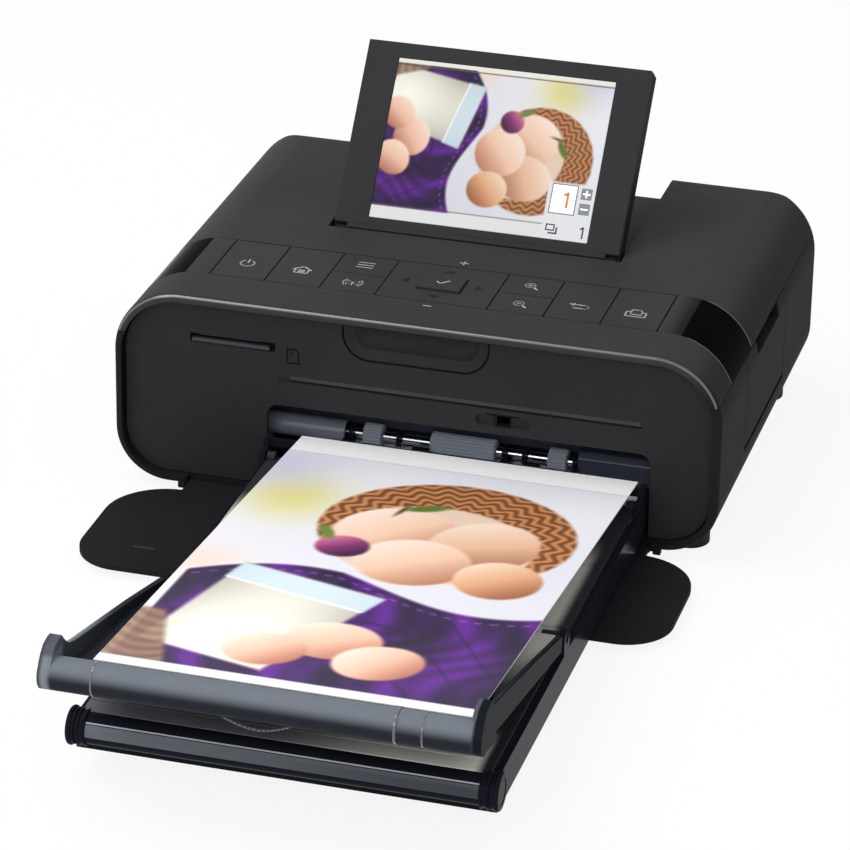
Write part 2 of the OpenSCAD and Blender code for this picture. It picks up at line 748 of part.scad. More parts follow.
module chassis_right() {
    color("#8f9396") place() {
        difference() {
            union() {
                intersection() {
                    box(right_in, right_out, plate_y0, plate_y1, floor_z, plate_top);
                    along_y(plate_y0 - 1, plate_y1 + 1) case_outline(wall);
                }
                // Stud of the eject lever
                rod_x(right_out - 0.5, right_out + 3.2, lever_y, lever_z, lever_stud_r);
            }
            shaft_holes(right_in - 1, right_out + 1);
            // Window the ink cassette passes through
            box(right_in - 1, right_out + 1, takeup_y - spool_case_r - 0.5, supply_y + spool_case_r + 0.5,
                spool_z - spool_case_r - 0.4, window_top);
            rod_x(right_in - 1, right_out + 1, 98, 20, 9);
        }
    }
}

module chassis_tie() {
    color("#989b9e") place() {
        box(left_in, right_in, plate_y1 - 18, plate_y1 - 1, 45, 46.2);
        box(left_in, right_in, plate_y1 - 18, plate_y1 - 16.8, 40, 45.5);
    }
}

module paper_guide() {
    color("#14151a") place() along_x(left_in, right_in)
        polygon([[plate_y0, bay_top + 0.6], [feed_y + 4.6, bay_top + 0.6], [feed_y + 4.6, feed_z + 6],
            [feed_y + 5.8, feed_z + 6], [feed_y + 5.8, bay_top + 1.8], [plate_y0, bay_top + 1.8]]);
}

module paper_ramp() {
    foot_y = tray_depth + 0.6;
    color("#101115") place() difference() {
        union() {
            // Ramp from the cassette's end up to the capstan
            along_x(left_in, right_in)
                polygon([[foot_y, stack_top + 0.6], [foot_y + 1.6, stack_top + 0.6],
                    [capstan_y - capstan_r - 0.8, capstan_z - 0.4],
                    [capstan_y - capstan_r - 0.8, path_z - 1.2],
                    [capstan_y - capstan_r - 2.6, path_z - 1.8], [foot_y, stack_top + 3.4]]);
            // Sleeves over the bare ends of the feed shaft
            for (span = [[tray_x - 53, -23], [47.4, tray_x + 53]]) {
                rod_x(span[0], span[1], feed_y, feed_z, sleeve_r);
                box(span[0], span[1], feed_y, foot_y + 0.8, feed_z - 1.9, feed_z - 0.2);
            }
            // Arms of the idler axle
            for (x = arms_x) {
                along_x(x - 0.9, x + 0.9)
                    polygon([[foot_y + 0.8, stack_top + 0.7], [idler_y + 1, stack_top + 0.35],
                        [idler_y - 1.5, idler_z], [idler_y + 1.5, idler_z],
                        [feed_y - 2.2, feed_z - feed_shaft_r - 0.4],
                        [foot_y + 0.8, feed_z - feed_shaft_r - 0.4]]);
                rod_x(x - 0.9, x + 0.9, idler_y, idler_z, 1.7);
            }
        }
        rod_x(left_in - 1, right_in + 1, feed_y, feed_z, feed_shaft_r + 0.35);
        rod_x(left_in - 1, right_in + 1, idler_y, idler_z, idler_axle_r + run_gap);
    }
}
arms_x = [-22, 25.4, 46.4];

// ---------------------------------------------------------------- print head and electronics

module head_bracket() {
    color("#9da0a3") place() difference() {
        box(left_in, right_in, platen_y - 9, platen_y + 9, bracket_z, bracket_z + plate_t);
        for (x = [-30, 10, 50]) rod_z(bracket_z - 1, bracket_z + plate_t + 1, x, platen_y, 2.5);
    }
}

head_half_w = 52;
head_x = tray_x;
module heat_sink() {
    color("#b4b7ba") place() {
        box(head_x - head_half_w, head_x + head_half_w, platen_y - 5.6, platen_y + 5.6,
            ribbon_z + 4, ribbon_z + 7);
        for (i = [0 : 20])
            box(head_x - head_half_w + i * 5.1, head_x - head_half_w + i * 5.1 + 1.4,
                platen_y - 5.6, platen_y + 5.6, ribbon_z + 6.5, bracket_z);
    }
}

module thermal_head() {
    color("#c9c4b4") place() {
        box(head_x - head_half_w + 1, head_x + head_half_w - 1, platen_y - 4, platen_y + 4,
            ribbon_z + 1.6, ribbon_z + 4);
        // Heating line
        rod_x(head_x - head_half_w + 1, head_x + head_half_w - 1, platen_y, ribbon_z + 1.8, 1);
    }
}

main_board_z = 9.2;
board_posts_x = [-40, 60];
board_posts_y = [98, 124];
power_x = 52;
usb_x = 32;
module main_board() {
    color("#1d5a34") place() {
        box(left_in + 4, right_in - 4, 92, rear_y0 - 1.5, main_board_z, main_board_z + board_t);
        // Processor, memory and power parts
        box(-10, 6, 100, 116, main_board_z + board_t - 0.2, main_board_z + board_t + 1.4);
        box(12, 22, 103, 113, main_board_z + board_t - 0.2, main_board_z + board_t + 1.2);
        for (x = [-34, -24]) rod_z(main_board_z + board_t - 0.2, main_board_z + board_t + 9, x, 108, 4);
        box(-40, -28, 118, 126, main_board_z + board_t - 0.2, main_board_z + board_t + 6);
    }
}

module key_board() {
    color("#1f6138") place() {
        box(-keys_half - 5, keys_half + 5, band_y + 1, key_rear_y - 1, board_z, board_z + board_t);
        // Switch under each key stem
        for (spot = stem_spots)
            rod_z(board_z + board_t - 0.2, board_z + board_t + dome_h, spot[0], spot[1], 1.8);
    }
}

socket_z = 46.4;
module card_socket() {
    color("#b9bcbf") place() difference() {
        box(card_x - 14.6, card_x + 14.6, panel_y1 + 0.3, 34, socket_z, 52.4);
        box(card_x - card_w / 2, card_x + card_w / 2, panel_y1 - 1, 30, card_z, card_z + card_h);
    }
}

module power_socket() {
    z0 = main_board_z + board_t;
    color("#121213") place() {
        difference() {
            box(power_x - 5, power_x + 5, rear_y1 - 15, rear_y1 - 0.2, z0, z0 + 10.4);
            rod_y(rear_y1 - 10, rear_y1 + 1, power_x, z0 + 5.4, 2.8);
        }
        rod_y(rear_y1 - 11, rear_y1 - 1.2, power_x, z0 + 5.4, 0.85);
    }
}

module usb_socket() {
    z0 = main_board_z + board_t;
    color("#a9acaf") place() difference() {
        box(usb_x - 4, usb_x + 4, rear_y1 - 9, rear_y1 - 0.2, z0, z0 + 4.2);
        box(usb_x - 3.3, usb_x + 3.3, rear_y1 - 6, rear_y1 + 1, z0 + 0.7, z0 + 3.5);
    }
}

module battery_contact_cover() {
    color("#202022") place() {
        box(-62, -28, rear_y1 + 0.05, rear_y1 + 1.3, 13, 27);
        for (i = [0 : 3]) box(-54 + i * 5, -52.6 + i * 5, rear_y1 + 1.2, rear_y1 + 1.7, 22, 25);
    }
}

module feed_motor() {
    color("#a2a5a8") place() difference() {
        union() {
            rod_x(bracket_x0 - motor_l, bracket_x0, pinion_y, pinion_z, motor_r);
            rod_x(bracket_x0 - motor_l - 1.5, bracket_x0 - motor_l + 1, pinion_y, pinion_z, 4);
            rod_x(bracket_x0 - 1, bracket_x1, pinion_y, pinion_z, 3);
        }
        rod_x(bracket_x0 - 9, bracket_x1 + 1, pinion_y, pinion_z, motor_shaft_r + run_gap);
    }
}

module motor_bracket() {
    color("#94979a") place() difference() {
        union() {
            box(bracket_x0, bracket_x1, pinion_y - 6, pinion_y + 17, pinion_z - 14, pinion_z + 13);
            for (spot = [[-2, -11], [13, 9], [13, -9]])
                rod_x(bracket_x0 + 0.5, left_out, pinion_y + spot[0], pinion_z + spot[1], 2);
        }
        rod_x(bracket_x0 - 1, bracket_x1 + 1, pinion_y, pinion_z, 3.05);
    }
}

// ---------------------------------------------------------------- ink

module ink_cassette_shell() {
    color("#3a3d42") place() difference() {
        union() {
            for (y = [takeup_y, supply_y]) rod_x(ink_x0, ink_x1, y, spool_z, spool_case_r);
            for (x = [ink_x0, ink_x1 - ink_wall])
                box(x, x + ink_wall, takeup_y, supply_y, spool_z - 6, spool_z + 6);
            // Handle at the outer end
            box(ink_x1 - 0.5, ink_x1 + 4, platen_y - 9, platen_y + 9, spool_z - 1.2, spool_z + 1.2);
        }
        for (y = [takeup_y, supply_y]) {
            rod_x(ink_x0 + ink_wall, ink_x1 - ink_wall, y, spool_z, spool_case_r - ink_wall);
            rod_x(ink_x0 - 1, ink_x1 + 1, y, spool_z, spool_end_r + run_gap);
        }
        // Ribbon exits on the inner lower sides
        box(ink_x0 + ink_wall, ink_x1 - ink_wall, takeup_y, supply_y,
            spool_z - spool_case_r - 1, ribbon_z + 2.6);
    }
}

module ink_ribbon() {
    span = [[takeup_y + 0.5, spool_z - takeup_r - 0.5], [platen_y - 7, ribbon_z],
        [platen_y + 7, ribbon_z], [supply_y - 0.5, spool_z - supply_r - 0.5]];
    color("#c8a21e") place() along_x(sheet_x - sheet_w / 2 - 1, sheet_x + sheet_w / 2 + 1)
        polygon(concat([for (i = [0 : 3]) span[i]], [for (i = [3 : -1 : 0]) span[i] + [0, ribbon_t]]));
}

module spool(y, roll_r) {
    rod_x(ink_x0 - 1.6, ink_x1 - 0.2, y, spool_z, spool_end_r);
    rod_x(ink_x0 + ink_wall + 0.4, ink_x1 - ink_wall - 0.4, y, spool_z, 3.4);
    rod_x(sheet_x - sheet_w / 2 - 1, sheet_x + sheet_w / 2 + 1, y, spool_z, roll_r);
}

module supply_spool() {
    color("#6d5b1c") place() spool(supply_y, supply_r);
}

module takeup_spool() {
    color("#5a4a55") place() spool(takeup_y, takeup_r);
}

lever_y = 46;
lever_z = 22;
lever_stud_r = 1.5;
module eject_lever() {
    x0 = right_out + 0.3;
    // The finger takes about half of the room up to the ink door
    finger_x1 = x0 + 2 + (half_w - wall - x0 - 2) * 0.5343;
    color("#c9ccce") place() difference() {
        union() {
            rod_x(x0, x0 + 2, lever_y, lever_z, 3.4);
            box(x0, x0 + 2, lever_y - 1.6, lever_y + 1.6, lever_z, spool_z - spool_case_r - 0.8);
            box(x0, x0 + 2, lever_y, lever_y + 14, lever_z - 1.6, lever_z + 1.6);
            box(x0, finger_x1, lever_y + 10, lever_y + 14, lever_z - 1.6, lever_z + 1.6);
        }
        rod_x(x0 - 1, x0 + 3, lever_y, lever_z, lever_stud_r + run_gap);
    }
}

// ---------------------------------------------------------------- screen

module at_screen() {
    place() translate([screen_x, hinge_y, hinge_z]) rotate([screen_tilt, 0, 0]) children();
}

module screen_back() {
    frame_z = hinge_r - frame_t;
    color("#29292b") at_screen() difference() {
        union() {
            box(-screen_w / 2, screen_w / 2, 0, screen_l, screen_back_z, frame_z);
            rod_x(-barrel_x1, barrel_x1, 0, 0, hinge_r);
        }
        // Hollow for the display module
        box(-screen_w / 2 + 1.6, screen_w / 2 - 1.6, 3.4, screen_l - 1.6, screen_back_z + 1.6, frame_z + 1);
        // Gaps between the hinge barrels, and the pin holes
        box(-barrel_x0, barrel_x0, -hinge_r - 1, -0.4, -hinge_r - 1, hinge_r + 1);
        rod_x(-barrel_x1 - 1, barrel_x1 + 1, 0, 0, hinge_pin_r + run_gap);
        // Room for the frame in front
        box(-screen_w / 2 - 1, screen_w / 2 + 1, 2.4, screen_l + 1, frame_z, hinge_r + 1);
    }
}

module screen_frame() {
    color("#2d2d2f") at_screen() difference() {
        box(-screen_w / 2, screen_w / 2, 2.5, screen_l, hinge_r - frame_t, hinge_r);
        box(-display_w / 2, display_w / 2, display_s, display_s + display_h,
            hinge_r - frame_t - 1, hinge_r + 1);
    }
}

module screen_window() {
    color("#8a93a0") at_screen()
        box(-display_w / 2 + 0.05, display_w / 2 - 0.05, display_s + 0.05, display_s + display_h - 0.05,
            hinge_r - 1.1, hinge_r - 0.1);
}

module display_module() {
    color("#bfc3c8") at_screen()
        box(-display_w / 2 - 3, display_w / 2 + 3, display_s - 1, display_s + display_h + 1,
            screen_back_z + 1.6, hinge_r - frame_t - 0.1);
}

module screen_hinge_pins() {
    color("#c4c7ca") place() translate([screen_x, 0, 0])
        for (side = [-1, 1]) translate([side * (barrel_x0 + pin_x1) / 2, 0, 0])
            rod_x(-(pin_x1 - barrel_x0) / 2, (pin_x1 - barrel_x0) / 2, hinge_y, hinge_z, hinge_pin_r);
}

// ---------------------------------------------------------------- doors

// The front door lies open: its hinge axis is at the rear and its inner face is up
module front_door() {
    x0 = door_x - door_w / 2;
    x1 = door_x + door_w / 2;
    z0 = door_axis_z + door_barrel_r - door_t;
    color("#242426") place() {
        difference() {
            union() {
                translate([0, 0, z0]) linear_extrude(door_t) {
                    translate([0, door_axis_y - door_l])
                        round_plate(x0, x1, 0, door_l - door_neck, door_front_r, door_rear_r);
                    translate([door_x - door_hinge_half, door_axis_y - door_neck - 8])
                        square([2 * door_hinge_half, door_neck + 8]);
                }
                rod_x(door_x - door_hinge_half, door_x + door_hinge_half,
                    door_axis_y, door_axis_z, door_barrel_r);
                rod_x(door_x - door_hinge_half - 3, door_x + door_hinge_half + 3,
                    door_axis_y, door_axis_z, door_pin_r);
                // Catch that clicks into the panel's slot
                box(catch_x - 1.5, catch_x + 1.5, door_axis_y - (catch_z - door_axis_z) - 1,
                    door_axis_y - (catch_z - door_axis_z) + 1, z0 + door_t - 0.2, z0 + door_t + 1.2);
            }
        }
    }
}

module ink_door() {
    color("#2a2a2c") place() {
        difference() {
            union() {
                intersection() {
                    case_shell();
                    box(half_w - 8, half_w + 1, ink_door_y + door_gap, ink_y1 - door_gap,
                        ink_hinge_z, lower_top - 0.2);
                }
                rod_y(ink_door_y + door_gap, ink_y1 - door_gap, ink_axis_x, ink_hinge_z, ink_barrel_r);
                rod_y(ink_door_y - 1.5, ink_y1 + 1.5, ink_axis_x, ink_hinge_z, ink_pin_r);
            }
            // Finger notch
            box(half_w - 9, half_w + 1, notch_y - notch_w / 2, notch_y + notch_w / 2,
                lower_top - 4.4, lower_top + 1);
        }
    }
}

// ---------------------------------------------------------------- rollers and gears

module feed_shaft() {
    color("#d5d8da") place() rod_x(gear_x0 - 0.3, right_out + 0.8, feed_y, feed_z, feed_shaft_r);
}

// Ribbed tyre: a toothed outline with a bore
module tyre(x, w) {
    ribs = 20;
    along_x(x - w / 2, x + w / 2) translate([feed_y, feed_z]) difference() {
        circle(tyre_r - 0.35);
        circle(feed_shaft_r);
    }
    for (i = [0 : ribs - 1]) translate([0, feed_y, feed_z]) rotate([i * 360 / ribs, 0, 0])
        box(x - w / 2, x + w / 2, -0.28, 0.28, tyre_r - 0.6, tyre_r);
}

module feed_tyres() {
    color("#6c7484") place() for (t = tyres) tyre(t[0], t[1]);
}

module gear_at(y, z, teeth, phase, bore_r) {
    along_x(gear_x0, gear_x1) difference() {
        translate([y, z]) gear_outline(teeth, phase);
        translate([y, z]) circle(bore_r);
    }
}

module feed_gear() {
    color("#e8e4d6") place() gear_at(feed_y, feed_z, feed_teeth, feed_phase, feed_shaft_r);
}

module capstan_gear() {
    color("#e8e4d6") place() gear_at(capstan_y, capstan_z, capstan_teeth, 0, capstan_end_r);
}

module capstan_roller() {
    color("#a7abae") place() {
        rod_x(gear_x0 - 0.3, right_out + 0.8, capstan_y, capstan_z, capstan_end_r);
        rod_x(left_in + 0.5, right_in - 0.5, capstan_y, capstan_z, capstan_r);
    }
}

module pinch_roller() {
    color("#3c3f44") place() {
        rod_x(left_out - 0.4, right_out + 0.8, capstan_y, pinch_z, pinch_end_r);
        rod_x(left_in + 0.5, right_in - 0.5, capstan_y, pinch_z, pinch_r);
    }
}

module platen_roller() {
    color("#2f3236") place() {
        rod_x(left_out - 0.4, right_out + 0.8, platen_y, platen_z, platen_end_r);
        rod_x(left_in + 0.5, right_in - 0.5, platen_y, platen_z, platen_r);
    }
}

module motor_pinion() {
    color("#c9a24a") place() {
        along_x(gear_x0, gear_x1) translate([pinion_y, pinion_z]) gear_outline(pinion_teeth, pinion_phase);
        rod_x(bracket_x0 - 8, gear_x0 + 0.5, pinion_y, pinion_z, motor_shaft_r);
    }
}

module idler_rollers() {
    color("#22252b") place() {
        rod_x(arms_x[0] - 1.6, arms_x[2] + 1.6, idler_y, idler_z, idler_axle_r);
        for (x = idlers) rod_x(x - idler_w / 2, x + idler_w / 2, idler_y, idler_z, idler_r);
    }
}

// ---------------------------------------------------------------- keys

// Column k counts key pitches from the middle plane; row -1 is the front half, 1 the rear half
function column_x(k) = (k + 0.5) * key_pitch;
function row_y(row) = key_mid_y + row * band_w / 4;
pad_stems = [for (sx = [-1, 1], sy = [-1, 1]) [sx * 11, key_mid_y + sy * 8.5]];
stem_spots = concat(
    [for (k = [-4, -3, 2, 3]) [column_x(k), key_mid_y]],
    [for (k = [-2, 1], row = [-1, 1]) [column_x(k), row_y(row)]],
    pad_stems, [[0, key_mid_y]]);

module key_cap(x0, x1, y0, y1) {
    box(x0 + key_gap / 2, x1 - key_gap / 2, y0 + key_gap / 2, y1 - key_gap / 2,
        case_top - key_t, case_top);
}

module key_stem(x, y) {
    rod_z(stem_z, case_top - key_t + 0.3, x, y, 1.5);
}

module full_key(k) {
    color("#323234") place() {
        key_cap(column_x(k) - key_pitch / 2, column_x(k) + key_pitch / 2, band_y + 0.25, key_rear_y - 0.25);
        key_stem(column_x(k), key_mid_y);
    }
}

module half_key(k, row) {
    y0 = row < 0 ? band_y + 0.25 : key_mid_y;
    y1 = row < 0 ? key_mid_y : key_rear_y - 0.25;
    color("#323234") place() {
        key_cap(column_x(k) - key_pitch / 2, column_x(k) + key_pitch / 2, y0, y1);
        key_stem(column_x(k), row_y(row));
    }
}

module power_key() { full_key(-4); }
module home_key() { full_key(-3); }
module menu_key() { half_key(-2, 1); }
module wireless_key() { half_key(-2, -1); }
module zoom_in_key() { half_key(1, 1); }
module zoom_out_key() { half_key(1, -1); }
module back_key() { full_key(2); }
module print_key() { full_key(3); }

module direction_pad() {
    color("#323234") place() {
        difference() {
            key_cap(-key_pitch, key_pitch, band_y + 0.25, key_rear_y - 0.25);
            box(-ok_w / 2 - key_gap, ok_w / 2 + key_gap, key_mid_y - ok_d / 2 - key_gap,
                key_mid_y + ok_d / 2 + key_gap, shell_top - 1, case_top + 1);
        }
        for (spot = pad_stems) key_stem(spot[0], spot[1]);
    }
}

module ok_key() {
    color("#353537") place() {
        box(-ok_w / 2, ok_w / 2, key_mid_y - ok_d / 2, key_mid_y + ok_d / 2,
            case_top - key_t, case_top + 0.7);
        key_stem(0, key_mid_y);
    }
}

// ---------------------------------------------------------------- paper cassette

// Side view of a side wall: it steps up beside the print's rest, and down under the rollers
module tray_side() {
    polygon([[-tray_reach, cap_z - cap_r], [-tray_reach + 9, tray_z], [tray_depth, tray_z],
        [tray_depth, tray_step], [2.2, tray_step], [2.2, rest_top - 0.2], [-2.9, rest_top - 0.2],
        [-2.9, inner_hinge_z + 2], [-6.7, inner_hinge_z + 2], [-7.4, tray_top],
        [-tray_reach + cap_r - 0.5, tray_top], [-tray_reach, cap_z + cap_r - 0.5]]);
}

module cassette_base() {
    color("#171a22") place() translate([tray_x, 0, 0]) difference() {
        union() {
            box(-tray_half, tray_half, -tray_reach, tray_depth, tray_z, tray_floor);
            for (side = [-1, 1]) translate([side * (tray_half - tray_wall / 2), 0, 0]) {
                along_x(-tray_wall / 2, tray_wall / 2) tray_side();
                // Ear that holds the output lid's pin
                rod_x(-tray_wall / 2, tray_wall / 2, -lid_hinge_y, lid_hinge_z, ear_r);
                box(-tray_wall / 2, tray_wall / 2, -lid_hinge_y - ear_r, -lid_hinge_y + ear_r,
                    tray_top - 0.5, lid_hinge_z);
            }
            // Wall at the inner end
            box(-tray_half, tray_half, tray_depth - tray_wall, tray_depth, tray_z, lift_z + 1.6);
            // Front bar and rolled caps
            rod_x(-tray_half, tray_half, -tray_reach, cap_z, cap_r - 0.5);
            for (side = [-1, 1], step = [0, 1])
                translate([side * (tray_front_w / 2 - cap_w / 2 - step * (cap_w + 0.5)), 0, 0])
                    rod_x(-cap_w / 2, cap_w / 2, -tray_reach, cap_z, cap_r - 0.15 * step);
            // Guide beside the paper
            box(sheet_x - tray_x - sheet_w / 2 - 1.8, sheet_x - tray_x - sheet_w / 2 - 0.6,
                -tray_reach + cap_r, tray_depth - tray_wall, tray_floor - 0.5, stack_top - 0.4);
            // Ledges under the inner lid
            for (side = [0, 1]) mirror([side, 0, 0])
                box(ledge_in, tray_half - tray_wall + 0.2, -tray_reach + cap_r, -12,
                    tray_floor - 0.5, inner_lid_z - 0.2);
            // Stops under the lift plate
            for (x = [-30, 38], y = [-tray_reach + 30, 0])
                rod_z(tray_floor - 0.5, lift_z - lift_travel - 0.1, x, y, 4);
            // Rest of the finished print
            box(-tray_half + 0.5, tray_half - 0.5, rest_y - 1.4, rest_y, rest_top - 2.4, rest_top);
        }
        rod_x(-tray_half - 1, tray_half + 1, inner_hinge_y, inner_hinge_z, inner_pin_r + run_gap);
        rod_x(-tray_half - 1, tray_half + 1, -lid_hinge_y, lid_hinge_z, lid_pin_r + run_gap);
    }
}

module inner_lid() {
    inner_half = tray_half - tray_wall - 0.3;
    color("#23262e") place() translate([tray_x, 0, 0]) {
        difference() {
            box(-inner_half, inner_half, inner_hinge_y - inner_lid_l, inner_hinge_y + 1,
                inner_lid_z, inner_lid_z + inner_lid_t);
            // Room for the output lid's hinge barrels
            for (side = [-1, 1]) translate([side * inner_half, 0, 0])
                box(-6, 6, -lid_hinge_y - 3.5, -lid_hinge_y + 3.5, inner_lid_z - 1, inner_lid_z + 3);
        }
        for (side = [-1, 1]) {
            translate([side * (inner_half - 1.2), 0, 0])
                rod_x(-1.2, 1.2, inner_hinge_y, inner_hinge_z, inner_barrel_r);
            translate([side * (inner_half + 0.4), 0, 0])
                rod_x(-1.2, 1.2, inner_hinge_y, inner_hinge_z, inner_pin_r);
        }
        // Ribs across the lid
        for (i = [1 : 3]) box(-inner_half + 2, inner_half - 2, inner_hinge_y - i * 38 - 0.6,
            inner_hinge_y - i * 38 + 0.6, inner_lid_z + inner_lid_t - 0.2, inner_lid_z + inner_lid_t + 0.6);
    }
}

module lift_plate() {
    color("#8b8f93") place()
        box(sheet_x - sheet_w / 2 + 2, sheet_x + sheet_w / 2 - 2, stack_y1 - stack_l + 4, stack_y1 - 0.5,
            lift_z, lift_z + lift_t);
}

module paper_stack() {
    color("#e9eaec") place()
        box(sheet_x - sheet_w / 2, sheet_x + sheet_w / 2, stack_y1 - stack_l, stack_y1,
            stack_top - stack_h, stack_top);
}

module at_lid() {
    place() translate([tray_x, -lid_hinge_y, lid_hinge_z]) rotate([-lid_angle, 0, 0]) children();
}

// Side view of the lid's side wall, which rises to an ear above the lip
module lid_side() {
    low = -lid_t / 2 - 1.4;
    polygon([[-5, low], [-5, 2.2], [-34, 3.7], [-lid_l + 14, 5], [-lid_l + 9.6, 5.7],
        [-lid_l + 7.4, 6.8], [-lid_l + 5.6, 8], [-lid_l + 4, lip_local_z + lip_r + ear_h],
        [-lid_l + 2, lip_local_z + lip_r + ear_h - 0.4], [-lid_l - 0.8, 7.8], [-lid_l - 2.6, 5.6],
        [-lid_l - 3.6, 3.6], [-lid_l - 4.1, 1.5], [-lid_l - 4, -0.6], [-lid_l - 3, -2.4],
        [-lid_l - 1.2, -3.5], [-lid_l + 0.8, -3.6], [-lid_l + 5, -3.4]]);
}

module output_lid() {
    lid_half = lid_w / 2;
    lip_half = lip_w / 2;
    barrel_half = tray_half - tray_wall - 0.3;
    color("#3b4048") at_lid() difference() {
        union() {
            box(-lid_half, lid_half, -lid_l, -5, -lid_t / 2, lid_t / 2);
            box(-barrel_half, barrel_half, -6, -1.5, -lid_t / 2, lid_t / 2);
            // Side walls with the ears, the thick part of which stands at the lip's ends
            for (side = [-1, 1]) {
                translate([side * (lid_half - lid_t / 2), 0, 0]) along_x(-lid_t / 2, lid_t / 2) lid_side();
                translate([side * (lip_half - 1), 0, 0]) along_x(-1, 1) intersection() {
                    lid_side();
                    translate([-lid_l - 10, -10]) square([20, 30]);
                }
                // Hinge barrels and pins
                translate([side * (barrel_half - 2.5), 0, 0]) rod_x(-2.5, 2.5, 0, 0, 1.8);
                translate([side * (tray_half - tray_wall - 0.2), 0, 0])
                    rod_x(-1.3, 1.3, 0, 0, lid_pin_r);
            }
            // Rolled lip
            translate([0, -lid_l, lip_local_z]) rod_x(-lip_half, lip_half, 0, 0, lip_r);
            // Ribs that hold the print above the lid
            for (x = [-30, 10, 48]) box(x - 4, x + 4, rib_y, rib_y + 1.2, 0, rib_top);
        }
        // Hollow behind the lip
        translate([0, -lid_l, lip_local_z]) difference() {
            rod_x(-lip_half + 2, lip_half - 2, 0, 0, lip_r - lid_t);
            box(-lip_half, lip_half, 0, lip_r, -lip_r, lip_r);
        }
    }
}

// The print lies on the cassette's rest and on the lid's ribs
module printed_sheet() {
    color("#e6e2dc") place() translate([sheet_x, rest_y, sheet_rest]) rotate([-sheet_angle, 0, 0])
        box(-sheet_w / 2, sheet_w / 2, sheet_rear - sheet_l, sheet_rear, 0, sheet_t);
}

top_cover();
lower_case();
front_panel();
rear_panel();
control_band();
rubber_feet();
case_screws();
chassis_left();
chassis_right();
chassis_tie();
paper_guide();
paper_ramp();
head_bracket();
heat_sink();
thermal_head();
main_board();
key_board();
card_socket();
power_socket();
usb_socket();
battery_contact_cover();
feed_motor();
motor_bracket();
ink_cassette_shell();
ink_ribbon();
supply_spool();
takeup_spool();
eject_lever();
screen_back();
screen_frame();
screen_window();
display_module();
screen_hinge_pins();
front_door();
ink_door();
feed_shaft();
feed_tyres();
feed_gear();
idler_rollers();
capstan_roller();
capstan_gear();
pinch_roller();
platen_roller();
motor_pinion();
power_key();
home_key();
menu_key();
wireless_key();
direction_pad();
ok_key();
zoom_in_key();
zoom_out_key();
back_key();
print_key();
cassette_base();
inner_lid();
lift_plate();
paper_stack();
output_lid();
printed_sheet();
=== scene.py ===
# A compact photo printer with its screen raised, its front door open and a
# finished print lying on the lid of its paper cassette.
import json
import math
import bpy
import bmesh
import numpy as np
from mathutils import Matrix, Vector


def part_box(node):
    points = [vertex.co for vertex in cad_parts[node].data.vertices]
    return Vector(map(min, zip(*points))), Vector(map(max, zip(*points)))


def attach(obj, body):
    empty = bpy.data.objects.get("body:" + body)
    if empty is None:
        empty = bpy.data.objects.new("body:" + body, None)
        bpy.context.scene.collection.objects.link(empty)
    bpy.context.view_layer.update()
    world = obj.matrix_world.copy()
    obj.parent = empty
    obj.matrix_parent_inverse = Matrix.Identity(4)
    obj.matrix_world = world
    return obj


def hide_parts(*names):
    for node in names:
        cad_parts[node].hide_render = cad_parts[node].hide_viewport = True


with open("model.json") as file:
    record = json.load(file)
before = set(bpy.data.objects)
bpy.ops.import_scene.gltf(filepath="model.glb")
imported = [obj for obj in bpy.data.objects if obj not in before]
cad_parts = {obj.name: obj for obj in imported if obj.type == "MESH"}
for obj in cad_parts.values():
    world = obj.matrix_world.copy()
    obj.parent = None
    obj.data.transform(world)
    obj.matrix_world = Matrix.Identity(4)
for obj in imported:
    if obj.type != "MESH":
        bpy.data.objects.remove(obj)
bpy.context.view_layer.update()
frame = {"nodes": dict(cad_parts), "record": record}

NODES = frame["nodes"]
BODY_OF = {n: b for b, members in frame["record"]["behaviour"]["bodies"].items() for n in members}
SLOT_OF = {s["node"]: s["material_slot"] for s in frame["record"]["subparts"]}
MM = 0.001
RIM_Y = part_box("top_cover")[0].y / MM  # the case's front rim, from which the case is measured


def at(x, y, z):
    """A point of the case in metres: x from its middle, y behind its front rim, z above the table."""
    return Vector((x * MM, (y + RIM_Y) * MM, z * MM))


def middle(node):
    """The middle of a node's box, in mm of the case."""
    low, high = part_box(node)
    return (low + high) / 2 / MM - Vector((0, RIM_Y, 0))


def cosine(degrees):
    """The cosine of an angle in degrees."""
    return math.cos(math.radians(degrees))


def sine(degrees):
    """The sine of an angle in degrees."""
    return math.sin(math.radians(degrees))


# Sizes in mm, from the frame where it holds them
HALF_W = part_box("lower_case")[1].x / MM  # the case's half width
TOP_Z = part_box("top_cover")[1].z / MM  # its top, with which the keys are level
CORNER_R = 20  # rounding of the case's two upper edges
SHAFT = middle("feed_shaft")
SLOT_X = middle("card_socket").x  # middle of the card slot


# ------------------------------------------------------------------ finishes

def linear(code):
    """An sRGB hex value as linear RGBA."""
    parts = [int(code[i:i + 2], 16) / 255 for i in (1, 3, 5)]
    return [p / 12.92 if p <= 0.04045 else ((p + 0.055) / 1.055) ** 2.4 for p in parts] + [1.0]


def add(tree, kind, sockets=None, **settings):
    """Adds a node, with its settings, and values or links for its sockets."""
    node = tree.nodes.new(kind)
    for name, value in settings.items():
        setattr(node, name, value)
    for name, value in (sockets or {}).items():
        if isinstance(value, bpy.types.NodeSocket):
            tree.links.new(value, node.inputs[name])
        else:
            node.inputs[name].default_value = value
    return node


PLAIN_IOR = 1.5  # typical of plastics, rubber, paper and glass
COAT_ROUGHNESS = 0.08
DRIFT_ENDS = (0.3, 0.7)  # where in the noise the darker and the lighter colour are reached
LEAST_ROUGHNESS = 0.02


